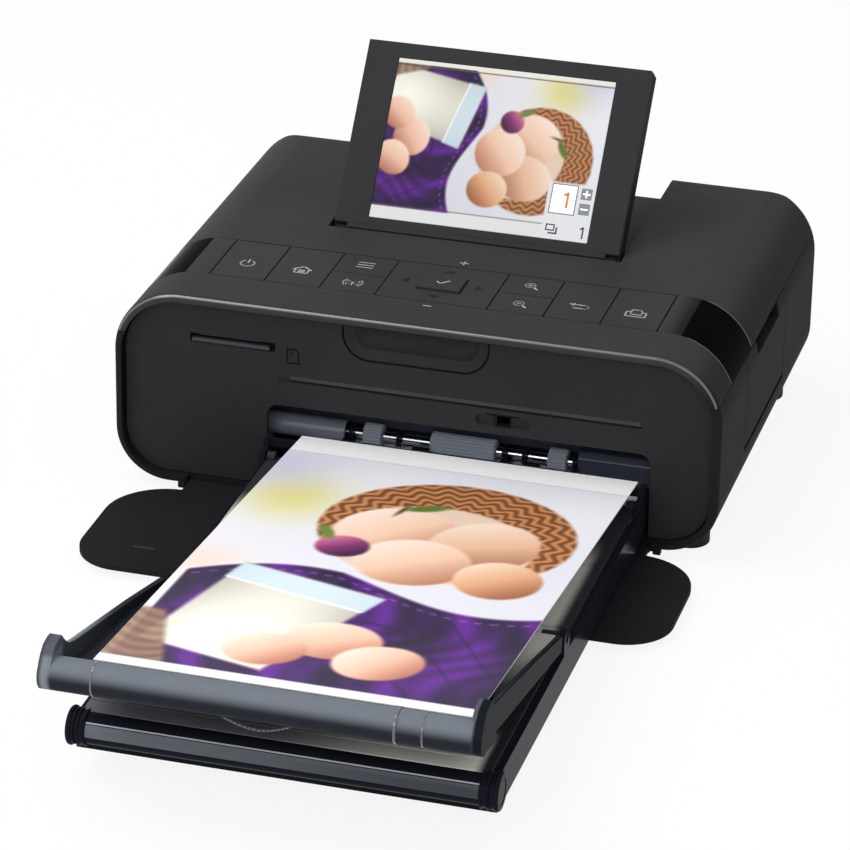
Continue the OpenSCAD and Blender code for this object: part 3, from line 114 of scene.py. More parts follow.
def finish(name, colour, roughness, other=None, grain_mm=0.5, grain_depth_mm=0.01, shade=0.05,
           spread_mm=25, metallic=0.0, coat=0.0, stretch=(1, 1, 1), rough_spread=0.05,
           transmission=0.0, specular=0.5):
    """A moulded, rolled or painted surface: a colour that drifts a little, and a fine grain."""
    material = bpy.data.materials.new(name)
    material.use_nodes = True
    tree = material.node_tree
    shader = tree.nodes["Principled BSDF"]
    place = add(tree, "ShaderNodeTexCoord")
    scaled = add(tree, "ShaderNodeMapping", {"Vector": place.outputs["Object"], "Scale": stretch})
    drift = add(tree, "ShaderNodeTexNoise", {"Vector": place.outputs["Object"],
                                             "Scale": 1 / (spread_mm * MM), "Detail": 3.0})
    grain = add(tree, "ShaderNodeTexNoise", {"Vector": scaled.outputs["Vector"],
                                             "Scale": 1 / (grain_mm * MM), "Detail": 2.0, "Roughness": 0.6})
    base = linear(colour)
    dark = linear(other) if other else [c * (1 - shade) for c in base[:3]] + [1]
    light = [min(1.0, c * (1 + shade)) for c in base[:3]] + [1]
    ramp = add(tree, "ShaderNodeValToRGB", {"Fac": drift.outputs["Fac"]})
    for stop, tint, position in zip(ramp.color_ramp.elements, (dark, light), DRIFT_ENDS):
        stop.color = tint
        stop.position = position
    dull = add(tree, "ShaderNodeMapRange", {"Value": grain.outputs["Fac"],
                                            "To Min": max(LEAST_ROUGHNESS, roughness - rough_spread),
                                            "To Max": roughness + rough_spread})
    bump = add(tree, "ShaderNodeBump", {"Height": grain.outputs["Fac"], "Strength": 0.5,
                                        "Distance": grain_depth_mm * MM})
    tree.links.new(ramp.outputs["Color"], shader.inputs["Base Color"])
    tree.links.new(dull.outputs["Result"], shader.inputs["Roughness"])
    tree.links.new(bump.outputs["Normal"], shader.inputs["Normal"])
    shader.inputs["Metallic"].default_value = metallic
    shader.inputs["Coat Weight"].default_value = coat
    shader.inputs["Coat Roughness"].default_value = COAT_ROUGHNESS
    shader.inputs["Specular IOR Level"].default_value = specular
    if not metallic:
        shader.inputs["IOR"].default_value = PLAIN_IOR
    shader.inputs["Transmission Weight"].default_value = transmission
    return material


MIX_SHARE, MIX_FROM, MIX_TO, MIX_COLOUR = 0, 6, 7, 2  # sockets of a colour mix


def graded(material, *passages):
    """Lets the material's colour pass into others. Each passage is an axis of the case, the places in mm
    where it starts and ends, and the colour that it reaches."""
    tree = material.node_tree
    colour = tree.nodes["Principled BSDF"].inputs["Base Color"]
    for axis, start_mm, end_mm, code in passages:
        shift = RIM_Y if axis == "Y" else 0
        place = add(tree, "ShaderNodeTexCoord")
        parts = add(tree, "ShaderNodeSeparateXYZ", {"Vector": place.outputs["Object"]})
        share = add(tree, "ShaderNodeMapRange", {"Value": parts.outputs[axis],
                                                 "From Min": (start_mm + shift) * MM,
                                                 "From Max": (end_mm + shift) * MM},
                    interpolation_type="SMOOTHSTEP")
        both = add(tree, "ShaderNodeMix", {MIX_SHARE: share.outputs["Result"],
                                           MIX_FROM: colour.links[0].from_socket, MIX_TO: linear(code)},
                   data_type="RGBA")
        tree.links.new(both.outputs[MIX_COLOUR], colour)


def printed(name, coat, glow=0.0, share=1.0):
    """Colour laid down on a glossy sheet: a share of the picture's own colours under a clear layer, and
    with glow their own light."""
    material = finish(name, "#ffffff", 0.35, grain_mm=0.4, grain_depth_mm=0.002, coat=coat, specular=0.15)
    tree = material.node_tree
    shader = tree.nodes["Principled BSDF"]
    ink = add(tree, "ShaderNodeVertexColor", layer_name="ink")
    held = add(tree, "ShaderNodeVectorMath", {0: ink.outputs["Color"], 1: (share, share, share)},
               operation="MULTIPLY")
    tree.links.new(held.outputs[0], shader.inputs["Base Color"])
    if glow:
        tree.links.new(ink.outputs["Color"], shader.inputs["Emission Color"])
        shader.inputs["Emission Strength"].default_value = glow
    return material


# ABS with a spark-eroded grain: satin charcoal that greys where it catches light, with painted shade
# darkening it down the right flank. The grain is 0.1 mm in the tool, and is drawn at 0.5 mm so that it shows
abs_shell = finish("moulded_abs_charcoal", "#37373a", 0.5, grain_mm=0.5, grain_depth_mm=0.012, specular=0.015)
# painted shade: darker over the right flank
graded(abs_shell, ("X", 79, 89.5, "#1f1e20"))
# The same ABS on the lower shell, the doors and the screen's back: a shade darker
abs_lower = finish("moulded_abs_warm_black", "#222124", 0.55, grain_mm=0.5, grain_depth_mm=0.012,
                   specular=0.01)
# Front and rear panels: flat ABS without gloss
abs_panel = finish("moulded_abs_matte_panel", "#2b2b2d", 0.55, grain_mm=0.5, grain_depth_mm=0.015,
                   specular=0.08)
# Front rim of the top cover: the case's ABS painted paler and glossier, a painted highlight shown as one soft
# line
abs_rim_highlight = finish("abs_rim_painted_highlight", "#4a4a4d", 0.24, grain_mm=0.8, grain_depth_mm=0.003, specular=0.8,
                   coat=0.3)
# Polished black ABS of the band's two ends: deep black with a clear sheen
abs_gloss = finish("polished_abs_black", "#050506", 0.12, grain_mm=2, grain_depth_mm=0.002, rough_spread=0.02,
                   specular=0.002)
# Key caps and the band between them: moulded ABS, lightly textured, black towards the band's right end. The
# black of the polished end is the band's own; the gradual passage into it is painted shade where the band
# turns down the corner
abs_keys = finish("moulded_abs_keys", "#343436", 0.5, grain_mm=0.4, grain_depth_mm=0.01, specular=0.03)
graded(abs_keys, ("X", 67.5, 74.2, "#0a0a0b"))
# Screen bezel: fine matte ABS
abs_bezel = finish("moulded_abs_bezel", "#343335", 0.55, grain_mm=0.4, grain_depth_mm=0.01, specular=0.03)
# Cassette: tinted polystyrene, blue-black with a wet gloss
styrene_black = finish("tinted_polystyrene_blue_black", "#191b23", 0.2, grain_mm=3, grain_depth_mm=0.004,
                       rough_spread=0.04, spread_mm=40, specular=0.012)
# Inner lid: smoky polystyrene, painted far paler than the plastic as painted light, so that it shows in the
# shade under the lids. Its front right is paler still, painted light over the paper that shows through it;
# behind its front edge a painted shadow of the lip darkens it; further back it is paler again, then darker,
# and it is darker along its right edge
styrene_inner = finish("tinted_polystyrene_inner_lid", "#6e6e74", 0.25, grain_mm=3, grain_depth_mm=0.004,
                       rough_spread=0.04, spread_mm=60, shade=0.15, specular=0.04)
graded(styrene_inner, ("X", 6, 50, "#ece9e0"), ("Y", -150, -138, "#37363a"), ("Y", -112, -88, "#bdbbb4"),
       ("Y", -46, -26, "#333237"), ("X", 62.3, 65.6, "#2b2b2f"))
# Output lid: smoky grey-blue polystyrene. Painted light makes the front of the hollow lip and the left wall
# paler, as if light passed through them, and painted shade darkens the lip's underside and, most of all, the
# right wall.
# It is also paler above the lip, darker towards its rear and darker again at its far left
styrene_smoke = finish("smoky_polystyrene_lid", "#2e323a", 0.3, grain_mm=3, grain_depth_mm=0.004,
                       rough_spread=0.04, spread_mm=30, shade=0.12, transmission=0.06, specular=0.003)
graded(styrene_smoke, ("Y", -172, -175.5, "#71777f"), ("Z", 41.6, 38.2, "#262930"),
       ("X", 67.6, 68.8, "#363a43"), ("X", -41.2, -43, "#7d828b"), ("Z", 43.0, 44.4, "#545961"),
       ("Y", -160, -128, "#2b2f37"), ("X", 68.2, 68.9, "#15181f"), ("X", -43.6, -44.8, "#43474f"))
# Floor of the output lid: a pale colour as painted light, standing in for the lit paper that shows through
# it, darker towards the front
styrene_pale = finish("smoky_polystyrene_painted_light_over_paper", "#c6c4bd", 0.3, grain_mm=3, grain_depth_mm=0.004,
                      spread_mm=30, shade=0.1, specular=0.02)
graded(styrene_pale, ("Y", -98, -146, "#4a4b4d"))
# Thin clear seams, ticks and edges of the same polystyrene
styrene_clear = finish("clear_smoky_polystyrene", "#8e959e", 0.12, grain_mm=3, grain_depth_mm=0.002,
                       transmission=0.6, specular=0.5)
# Feed tyres: ground slate-grey rubber
rubber_tyre = finish("ground_rubber_slate", "#8b939f", 0.7, grain_mm=0.4, grain_depth_mm=0.03, specular=0.2)
# Feet and rollers: plain black rubber, almost without gloss
rubber_black = finish("moulded_rubber_black", "#111112", 0.75, grain_mm=0.6, grain_depth_mm=0.02,
                      specular=0.2)
# Steel of the shafts, ground and plated: bright, with fine turning lines round it
steel_ground = finish("ground_plated_steel", "#c9ccd2", 0.16, grain_mm=1.5, grain_depth_mm=0.003,
                      metallic=1.0, stretch=(8, 1, 1))
# Zinc-plated sheet steel: grey with rolling lines along X
steel_sheet = finish("zinc_plated_sheet_steel", "#9a9da1", 0.35, grain_mm=1.2, grain_depth_mm=0.006,
                     metallic=1.0, stretch=(0.15, 1, 1), shade=0.1)
# Screws: oxide-blackened steel
steel_black = finish("blackened_screw_steel", "#3a3a3c", 0.35, grain_mm=0.8, grain_depth_mm=0.006,
                     metallic=1.0)
# Heat sink: extruded aluminium, with the die's lines along Y
aluminium = finish("extruded_aluminium", "#b8babd", 0.32, grain_mm=1.0, grain_depth_mm=0.006, metallic=1.0,
                   stretch=(1, 0.1, 1))
# Thermal head: glazed alumina, cream and glossy
ceramic = finish("glazed_ceramic", "#c3bda8", 0.2, grain_mm=1.5, grain_depth_mm=0.004, coat=0.4)
# Circuit boards: glass-epoxy under green lacquer
board_green = finish("lacquered_circuit_board", "#1c5a36", 0.3, grain_mm=1.2, grain_depth_mm=0.01, coat=0.3)
# Gears: acetal in its natural off-white
acetal = finish("moulded_acetal_natural", "#d7d4c8", 0.4, grain_mm=0.8, grain_depth_mm=0.006)
# Inside parts, sockets and clips: black ABS with a blue cast
abs_inner = finish("moulded_abs_inner_black", "#10121a", 0.3, grain_mm=0.8, grain_depth_mm=0.008,
                   specular=0.2)
# Lining of the paper bay: the same ABS as the inside parts, painted lighter as painted light from the bay's
# mouth
abs_bay_painted_light = finish("moulded_abs_blue_black_painted_light", "#343845", 0.3, grain_mm=0.8, grain_depth_mm=0.006, specular=0.4)
# Inside of the card slot's flap: brown-black. A violet line along the slot's top is a painted reflection
abs_flap = finish("moulded_abs_brown_black", "#241c1a", 0.35, grain_mm=0.8, grain_depth_mm=0.006,
                  specular=0.3)
violet_reflection_paint = finish("violet_painted_reflection", "#3d2a72", 0.2, grain_mm=1, grain_depth_mm=0.002)
# Shell of the ink cassette: grey polystyrene
styrene_ink = finish("tinted_polystyrene_ink_shell", "#33363b", 0.25, grain_mm=3, grain_depth_mm=0.004)
# Painted sheen where the round front of the cassette's bar catches the light, with painted shade darkening it
# towards the right
bar_sheen_paint = finish("blue_grey_painted_sheen", "#6e737c", 0.3, grain_mm=2, grain_depth_mm=0.004,
                      specular=0.2)
graded(bar_sheen_paint, ("X", -66, -20, "#565b63"), ("X", -20, 60, "#373b44"))
# Dye ribbon: thin film, from yellow to brown
ribbon_film = finish("dye_ribbon_film", "#b4901c", 0.3, other="#8a5a1c", grain_mm=2, grain_depth_mm=0.004)
# Photo paper: coated, bright and nearly smooth
paper_white = finish("coated_photo_paper", "#e6e7ea", 0.45, grain_mm=0.6, grain_depth_mm=0.004, shade=0.02)
# Pad-printed legends: matt light grey ink, also laid as a painted highlight line on the cassette's bar
legend_grey_and_highlight = finish("pad_printed_ink_grey_and_highlight", "#acacae", 0.6, grain_mm=0.5, grain_depth_mm=0.003, specular=0.2)
legend_dark = finish("pad_printed_ink_dark", "#0e0e0f", 0.5, grain_mm=0.5, grain_depth_mm=0.003, specular=0.1)
# Shadow line in the seams of the shells
seam_black = finish("seam_shadow_black", "#0a0a0b", 0.7, grain_mm=0.5, grain_depth_mm=0.004, specular=0.1)
# The print: dye under a thin clear layer. The display: mostly its own light, under glass
photo_print = printed("dye_print_glossy_paper", 0.08)
lit_display = printed("lit_display_under_glass", 0.1, glow=0.62, share=0.3)

BY_SLOT = {
    "case_plastic": abs_shell, "panel_plastic": abs_panel, "gloss_band": abs_gloss, "key_plastic": abs_keys,
    "screen_bezel": abs_bezel, "display_window": abs_bezel, "display_panel": abs_inner,
    "cassette_plastic": styrene_black, "lid_plastic": styrene_smoke, "inner_lid_plastic": styrene_inner,
    "foot_rubber": rubber_black, "tyre_rubber": rubber_tyre, "roller_rubber": rubber_black,
    "steel_plate": steel_sheet, "shaft_steel": steel_ground, "screw_steel": steel_black,
    "heat_sink_aluminium": aluminium, "head_ceramic": ceramic, "board": board_green,
    "socket_plastic": abs_inner, "gear_plastic": acetal, "chassis_plastic": abs_inner,
    "ink_shell_plastic": styrene_ink, "ribbon_film": ribbon_film, "paper": paper_white,
    "print_paper": paper_white}

for name, obj in NODES.items():
    obj.data.materials.clear()
    obj.data.materials.append(BY_SLOT[SLOT_OF[name]])


# ------------------------------------------------------------------ pieces

def settle(name, mesh, material, body, stands_for=()):
    """Puts a finished mesh in the scene as a piece that rides on a body."""
    mesh.materials.clear()
    mesh.materials.append(material)
    obj = bpy.data.objects.new(name, mesh)
    bpy.context.scene.collection.objects.link(obj)
    if stands_for:
        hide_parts(*stands_for)
    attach(obj, body)
    return obj


def apply_modifiers(obj):
    """Turns what the modifiers give into the piece's own mesh."""
    bpy.context.view_layer.update()
    shaped = obj.evaluated_get(bpy.context.evaluated_depsgraph_get())
    mesh = bpy.data.meshes.new_from_object(shaped)
    obj.modifiers.clear()
    obj.data = mesh
    return obj


def break_edges(obj, width_mm, angle=32, segments=2):
    """Rounds the piece's edges by a small radius, as a mould leaves them, and shades it smooth."""
    if width_mm:
        bevel = obj.modifiers.new("broken_edges", "BEVEL")
        bevel.width = width_mm * MM
        bevel.segments = segments
        bevel.limit_method = "ANGLE"
        bevel.angle_limit = math.radians(angle)
        bevel.miter_outer = "MITER_ARC"
        bevel.use_clamp_overlap = True
    apply_modifiers(obj)
    obj.data.shade_smooth()
    obj.data.set_sharp_from_angle(angle=math.radians(angle))
    weigh = obj.modifiers.new("face_normals", "WEIGHTED_NORMAL")
    weigh.keep_sharp = True
    return obj


WELD = 2e-6  # points closer than this, in metres, become one
CUT_SHIFT = 0.00037  # metres by which the cuts miss the solid's own edges
FLAT_DEG = 0.6  # faces that meet at less than this angle become one


def from_solid(node, width_mm, material=None, segments=2, cell_mm=0):
    """The node's own form with its edges broken. With cell_mm, broad faces with holes in them stay in
    parts of about that size, so that each part is a plain polygon."""
    mesh = NODES[node].data.copy()
    form = bmesh.new()
    form.from_mesh(mesh)
    bmesh.ops.remove_doubles(form, verts=form.verts, dist=WELD)
    for axis in (0, 2) if cell_mm else ():
        low, high = min(v.co[axis] for v in form.verts), max(v.co[axis] for v in form.verts)
        parts = int((high - low) / (cell_mm * MM))
        across = Vector([1.0 if i == axis else 0.0 for i in range(3)])
        for k in range(1, parts):
            place = across * (low + (high - low) * k / parts + CUT_SHIFT)
            cut = bmesh.ops.bisect_plane(form, geom=form.verts[:] + form.edges[:] + form.faces[:], dist=1e-7,
                                         plane_co=place, plane_no=across)
            for edge in cut["geom_cut"]:
                if isinstance(edge, bmesh.types.BMEdge):
                    edge.seam = True
    bmesh.ops.dissolve_limit(form, angle_limit=math.radians(FLAT_DEG), verts=form.verts, edges=form.edges,
                             delimit={"SEAM"})
    form.to_mesh(mesh)
    form.free()
    slot = SLOT_OF[node]
    obj = settle(node + "_moulded", mesh, material or BY_SLOT[slot], BODY_OF[node], (node,))
    return break_edges(obj, width_mm, segments=segments)


def build(name, points, faces, material, body, stands_for=(), width_mm=0.0, angle=32):
    """A piece from its points, in metres, and faces."""
    mesh = bpy.data.meshes.new(name)
    mesh.from_pydata([tuple(p) for p in points], [], faces)
    form = bmesh.new()
    form.from_mesh(mesh)
    bmesh.ops.recalc_face_normals(form, faces=form.faces)
    form.to_mesh(mesh)
    form.free()
    return break_edges(settle(name, mesh, material, body, stands_for), width_mm, angle)


def skin(rows, n, first=0, wrap=False):
    """Faces over rows of n points, each row a closed loop. The two ends are capped, or with wrap the last
    row meets the first."""
    faces = []
    for k in range(rows if wrap else rows - 1):
        this, following = first + k * n, first + (k + 1) % rows * n
        faces += [(this + i, this + (i + 1) % n, following + (i + 1) % n, following + i) for i in range(n)]
    if not wrap:
        faces += [tuple(range(first + n - 1, first - 1, -1)),
                  tuple(range(first + (rows - 1) * n, first + rows * n))]
    return faces


def turned(name, profile, y, z, material, body):
    """A piece turned about an axis along X at y, z; profile is a closed loop of (x, radius)."""
    steps = 48
    points = []
    for k in range(steps):
        a = 2 * math.pi * k / steps
        points += [at(x, y + r * math.cos(a), z + r * math.sin(a)) for x, r in profile]
    return build(name, points, skin(steps, len(profile), wrap=True), material, body, angle=40)


def extruded(name, span, outline, material, body, width_mm=0.0, angle=32):
    """A piece whose (y, z) outline is carried along X over a span."""
    points = [at(x, y, z) for x in span for y, z in outline]
    return build(name, points, skin(2, len(outline)), material, body, (), width_mm, angle)


def plates(name, outlines, lift, place, material, body, depth=0.06):
    """Thin flat shapes printed or laid on a surface: outlines in mm, taken to their place by a function."""
    points, faces = [], []
    for outline in outlines:
        faces += skin(2, len(outline), len(points))
        points += [place(x, y, height) for height in (lift, lift - depth) for x, y in outline]
    return build(name, points, faces, material, body)


OVERRUN = 0.6  # how far a stroke's end runs past its point, as a share of half its width


def line(points, width, closed=False):
    """A drawn line as a row of four-sided outlines with square joints."""
    shapes, n = [], len(points)
    for i in range(n if closed else n - 1):
        (x0, y0), (x1, y1) = points[i], points[(i + 1) % n]
        length = math.hypot(x1 - x0, y1 - y0) or 1
        dx, dy = (x1 - x0) / length * width / 2, (y1 - y0) / length * width / 2
        ex, ey = dx * OVERRUN, dy * OVERRUN
        shapes.append([(x0 - ex - dy, y0 - ey + dx), (x0 - ex + dy, y0 - ey - dx),
                       (x1 + ex + dy, y1 + ey - dx), (x1 + ex - dy, y1 + ey + dx)])
    return shapes


def arc(cx, cy, r, a0, a1, steps=14):
    """Points of an arc from angle a0 to a1, in degrees."""
    turns = [a0 + (a1 - a0) * k / steps for k in range(steps + 1)]
    return [(cx + r * cosine(a), cy + r * sine(a)) for a in turns]


# ------------------------------------------------------------------ moulded and turned parts

POLISH_X = 74  # past this, on both sides, the control band is polished

from_solid("top_cover", 0.35, abs_shell)
from_solid("lower_case", 0.35, abs_lower)
from_solid("front_panel", 0.3, abs_panel, cell_mm=12)
from_solid("rear_panel", 0.25, abs_panel, cell_mm=12)
band = from_solid("control_band", 0.15, abs_gloss)
# The band's flat middle is grained like the keys
band.data.materials.append(abs_keys)
form = bmesh.new()
form.from_mesh(band.data)
for x in (-POLISH_X, POLISH_X):
    bmesh.ops.bisect_plane(form, geom=form.verts[:] + form.edges[:] + form.faces[:], plane_co=at(x, 0, 0),
                           plane_no=(1, 0, 0))
for face in form.faces:
    face.material_index = 1 if abs(face.calc_center_median().x) < POLISH_X * MM else 0
form.to_mesh(band.data)
form.free()
from_solid("rubber_feet", 0.6)
from_solid("ink_door", 0.3, abs_lower)
from_solid("front_door", 0.8, abs_lower, segments=3)
for key in ("power_key", "home_key", "menu_key", "wireless_key", "direction_pad", "ok_key",
            "zoom_in_key", "zoom_out_key", "back_key", "print_key"):
    from_solid(key, 0.18)
from_solid("screen_back", 0.4, abs_lower)
from_solid("screen_frame", 0.35, cell_mm=12)
from_solid("paper_guide", 0.2)
from_solid("paper_ramp", 0.2, cell_mm=12)
from_solid("cassette_base", 0.25)
from_solid("output_lid", 0.25)
from_solid("inner_lid", 0.2)
for shaft in ("feed_shaft", "capstan_roller", "pinch_roller"):
    from_solid(shaft, 0.1)
from_solid("idler_rollers", 0.5, abs_inner)

# Feed tyres: each is moulded with flutes along it
TYRE_R, TYRE_BORE, TYRE_EDGE = 3.5, 1.52, 0.25
FLUTES, FLUTE_DEPTH = 22, 0.34
around = FLUTES * 4  # points round a tyre: two on each rib and two in each groove
points, faces = [], []
for x, width in ((-15.2, 5.6), (12, 19.4), (40.3, 5.6)):
    shoulder = TYRE_R - 0.4
    half = width / 2
    rings = ((-half, TYRE_BORE), (-half, shoulder), (TYRE_EDGE - half, TYRE_R), (half - TYRE_EDGE, TYRE_R),
             (half, shoulder), (half, TYRE_BORE))
    faces += skin(len(rings), around, len(points), wrap=True)
    for dx, r in rings:
        for k in range(around):
            a = 2 * math.pi * k / around
            cut = r - (FLUTE_DEPTH if k % 4 >= 2 and r > TYRE_BORE else 0)
            points.append(at(x + dx, SHAFT.y + cut * math.cos(a), SHAFT.z + cut * math.sin(a)))
tyre_slot = SLOT_OF["feed_tyres"]
build("feed_tyres_fluted", points, faces, BY_SLOT[tyre_slot], "feed_roller", ("feed_tyres",),
      angle=25)


def swept(name, path, section, material):
    """A section carried round the case's front view. The path gives (x, z, outward x, outward z) and the
    section (outward, y), in mm."""
    points = [at(x + nx * d, y, z + nz * d) for x, z, nx, nz in path for d, y in section]
    return build(name, points, skin(len(path), len(section)), material, "case", angle=50)


def on_corner(side, degrees):
    """A point of the case's rounded upper edge, at an angle above level, with the way that faces out."""
    c, s = cosine(degrees), sine(degrees)
    return (side * (HALF_W - CORNER_R) + CORNER_R * c, TOP_Z - CORNER_R + CORNER_R * s, c, s)


def over_the_top(low, steps=20):
    """The case's front view from its left side over the top to its right side, starting at height low."""
    above = (low - TOP_Z + CORNER_R) / CORNER_R
    start = math.degrees(math.asin(above)) if above > 0 else 0
    path = [on_corner(side, a0 + (a1 - a0) * k / steps)
            for side, a0, a1 in ((-1, 180 - start, 90), (1, 90, start)) for k in range(steps + 1)]
    return path if above > 0 else [(-HALF_W, low, -1, 0)] + path + [(HALF_W, low, 1, 0)]


# Painted highlight line of the top cover's rim: a thin shell round the rim's own rounding, whose middle lies
# RIM_ROUND in from the case's outside and behind its front
RIM_ROUND, BEAD_OUT, BEAD_IN = 2.2, 2.26, 1.9
bead = [(BEAD_OUT, a) for a in range(34, 57, 4)] + [(BEAD_IN, a) for a in range(54, 35, -6)]
swept("rim_highlight_bead", over_the_top(49.9), [(r * sine(a) - RIM_ROUND, RIM_ROUND - r * cosine(a)) for r, a in bead],
      abs_rim_highlight)
# The dark gap between the rim and the front panel
swept("panel_gap_shadow", over_the_top(22), [(-2.44, 1.2), (-2.44, 2.98), (-2.62, 2.98), (-2.62, 1.2)],
      seam_black)
# Painted highlights along the edges of the band's groove where it turns down the right corner
corner = [on_corner(1, a) for a in range(74, 19, -3)]
for k, y in enumerate((17.48, 44.52)):
    swept("band_edge_highlight_%d" % k, corner, [(0.04, y - 0.1), (0.04, y + 0.1), (-0.3, y + 0.1), (-0.3, y - 0.1)],
          abs_rim_highlight)


RECESS_HALF, RECESS_LOW, RECESS_TOP, RECESS_R = 21.55, 49.05, 59.3, 7.9  # finger recess, from the front


def recess_loop(inset, y):
    """The finger recess's outline, inset, at a depth behind the rim."""
    half, low = RECESS_HALF - inset, RECESS_LOW + inset
    r = min(max(RECESS_R - inset, 1.5), RECESS_TOP - 0.15 - low)
    turns = [9 * k for k in range(11)]
    flat = [(-half, RECESS_TOP)] + [(-half + r - r * cosine(a), low + r - r * sine(a)) for a in turns]
    flat += [(half - r + r * sine(a), low + r - r * cosine(a)) for a in turns] + [(half, RECESS_TOP)]
    return [at(x, y, z) for x, z in flat]


# Moulded scoop in the finger recess, as insets and depths: a rolled edge, a step and a shallow back
loops = [recess_loop(inset, y) for inset, y in (
    (0, 9.4), (0, 3.5), (0.3, 3.15), (0.8, 3.2), (1.5, 3.9), (3.2, 4.5), (3.7, 5.2), (4.6, 5.9), (6.0, 6.4),
    (7.5, 6.7), (9.0, 6.9), (9.9, 7.0))]
build("finger_scoop", [p for loop in loops for p in loop], skin(len(loops), len(loops[0])), abs_panel,
      "case")


def bay_piece(name, x0, x1, outline, material):
    """A piece of the case's lining, carried along X."""
    return extruded(name, (x0, x1), outline, material, "case", 0.25)


BAY_LEFT, BAY_RIGHT = -48.6, 70.9
# the bay's back wall and right cover, in the lining's painted light
bay_piece("bay_back_wall", BAY_LEFT, BAY_RIGHT,
          [(19.3, 20.6), (20.1, 20.4), (20.3, 25.7), (19.5, 25.9), (18.9, 25.2), (18.8, 21.4)], abs_bay_painted_light)
bay_piece("bay_right_cover", BAY_RIGHT - 24, BAY_RIGHT,
          [(9.9, 17.3), (11.0, 17.0), (11.4, 17.6), (11.3, 23.2), (12.6, 24.6), (18.4, 25.4), (18.4, 26.1),
           (11.8, 25.4), (10.2, 23.7)], abs_bay_painted_light)
# Black sleeve round the feed shaft's left end, painted grey as a painted sheen where it catches the light
sleeve_painted_sheen = finish("black_abs_sleeve_painted_sheen", "#6c717d", 0.25, grain_mm=0.8, grain_depth_mm=0.004, specular=0.5)
SLEEVE_X0, SLEEVE_X1, SLEEVE_BORE, SLEEVE_R, SLEEVE_EDGE = -47.8, -23.2, 1.9, 3.4, 0.4
shoulder = SLEEVE_R - SLEEVE_EDGE
turned("shaft_sleeve", [(SLEEVE_X0, SLEEVE_BORE), (SLEEVE_X0, shoulder), (SLEEVE_X0 + SLEEVE_EDGE, SLEEVE_R),
                        (SLEEVE_X1 - SLEEVE_EDGE, SLEEVE_R), (SLEEVE_X1, shoulder), (SLEEVE_X1, SLEEVE_BORE)],
       SHAFT.y, SHAFT.z, sleeve_painted_sheen, "case")
# Clips that hold the feed shaft
for k, x in enumerate((-21.6, -7.2, 24.6, 30.6, 45.6)):
    bay_piece("shaft_clip_%d" % k, x - 0.8, x + 0.8,
              [(11.9, 18.6), (11.9, 21.4), (13.1, 22.6), (15.6, 22.6), (15.6, 21.9), (13.4, 21.9),
               (12.6, 21.1), (12.6, 18.6)], abs_inner)

# ------------------------------------------------------------------ legends

STROKE = 0.42  # width of a legend's lines
PITCH = 16.7  # from key to key
ROW_FRONT, ROW_REAR = 24.2, 37.6  # middles of the two rows of half-length keys
ROW_LEFT, ROW_RIGHT = 28.4, 27.6  # height on the tall keys at which their signs stand
PAD_Y = 31  # middle of the direction pad
OK_PROUD = 0.7  # how far the pad's middle key stands above the others


def legend(name, shapes, x, y, body, material=legend_grey_and_highlight, lift=0.03):
    """A sign printed on the case's top or on a key, with its middle at x, y."""
    return plates(name, shapes, lift, lambda a, b, z: at(x + a, y + b, TOP_Z + z), material, body)


def level(half, y=0.0, width=STROKE):
    """A level stroke across the middle."""
    return line([(-half, y), (half, y)], width)


def standing(half, width=STROKE):
    """An upright stroke through the middle."""
    return line([(0, -half), (0, half)], width)


legend("power_legend", line(arc(0, 0, 2.1, 125, 415), STROKE) + line([(0, 0.5), (0, 2.8)], STROKE),
       -3.5 * PITCH, ROW_LEFT, "power_key")
legend("home_legend", line([(-2.8, 0.3), (0, 2.6), (2.8, 0.3)], STROKE)
       + line([(-2, 0.5), (-2, -2), (2, -2), (2, 0.5)], STROKE) + level(0.9, -0.1, 0.5)
       + level(0.9, -1.1, 0.5), -2.5 * PITCH, ROW_LEFT, "home_key")
legend("menu_legend", level(2.4, 1.7, 0.34) + level(2.4, 0, 0.34) + level(2.4, -1.7, 0.34), -1.5 * PITCH,
       ROW_REAR, "menu_key")
waves = [[(0.5, 0), (0, 0.5), (-0.5, 0), (0, -0.5)]] + line([(0, -0.4), (0, -1.7)], 0.35)
for r in (1.3, 2.1, 2.9):
    for a in (0, 180):
        waves += line(arc(0, 0, r, a - 42, a + 42, 8), 0.36)
legend("wireless_legend", waves, -1.5 * PITCH, ROW_FRONT, "wireless_key")
for key, y, up in (("zoom_in_key", ROW_REAR, True), ("zoom_out_key", ROW_FRONT, False)):
    glass = line(arc(-0.4, 0.4, 1.5, 0, 360, 20), 0.38) + line([(0.7, -0.7), (2.1, -2.1)], 0.55)
    glass += line([(-1.1, 0.4), (0.3, 0.4)], 0.32)
    if up:
        glass += line([(-0.4, -0.3), (-0.4, 1.1)], 0.32)
    legend(key + "_legend", glass, 1.5 * PITCH, y, key)
legend("back_legend", line([(-2.4, 1.2), (1.6, 1.2)] + arc(1.6, 0, 1.2, 90, -90, 10)
                           + [(1.6, -1.2), (-1.6, -1.2)], STROKE) + [[(-3.3, 1.2), (-1.5, 2.1), (-1.5, 0.3)]],
       2.5 * PITCH, ROW_RIGHT, "back_key")
legend("print_legend", line([(-1.6, 0.4), (-1.6, 2.7), (0.8, 2.7), (1.6, 1.9), (1.6, 0.4)], 0.36)
       + line([(-1.7, 1.1), (-2.9, 1.1), (-2.9, -2), (2.9, -2), (2.9, 1.1), (1.7, 1.1)], 0.4)
       + level(1.6, -0.5, 0.4), 3.5 * PITCH, ROW_RIGHT, "print_key")
legend("ok_legend", line([(-1.6, 0.1), (-0.4, -1.1), (1.9, 1.3)], 0.45), 0, PAD_Y, "ok_key",
       lift=OK_PROUD + 0.03)
arrow = [(-1.9, -0.9), (1.9, -0.9), (0, 1.2)]
legend("up_legend", [arrow], 0, PAD_Y + 9.2, "direction_pad", legend_dark)
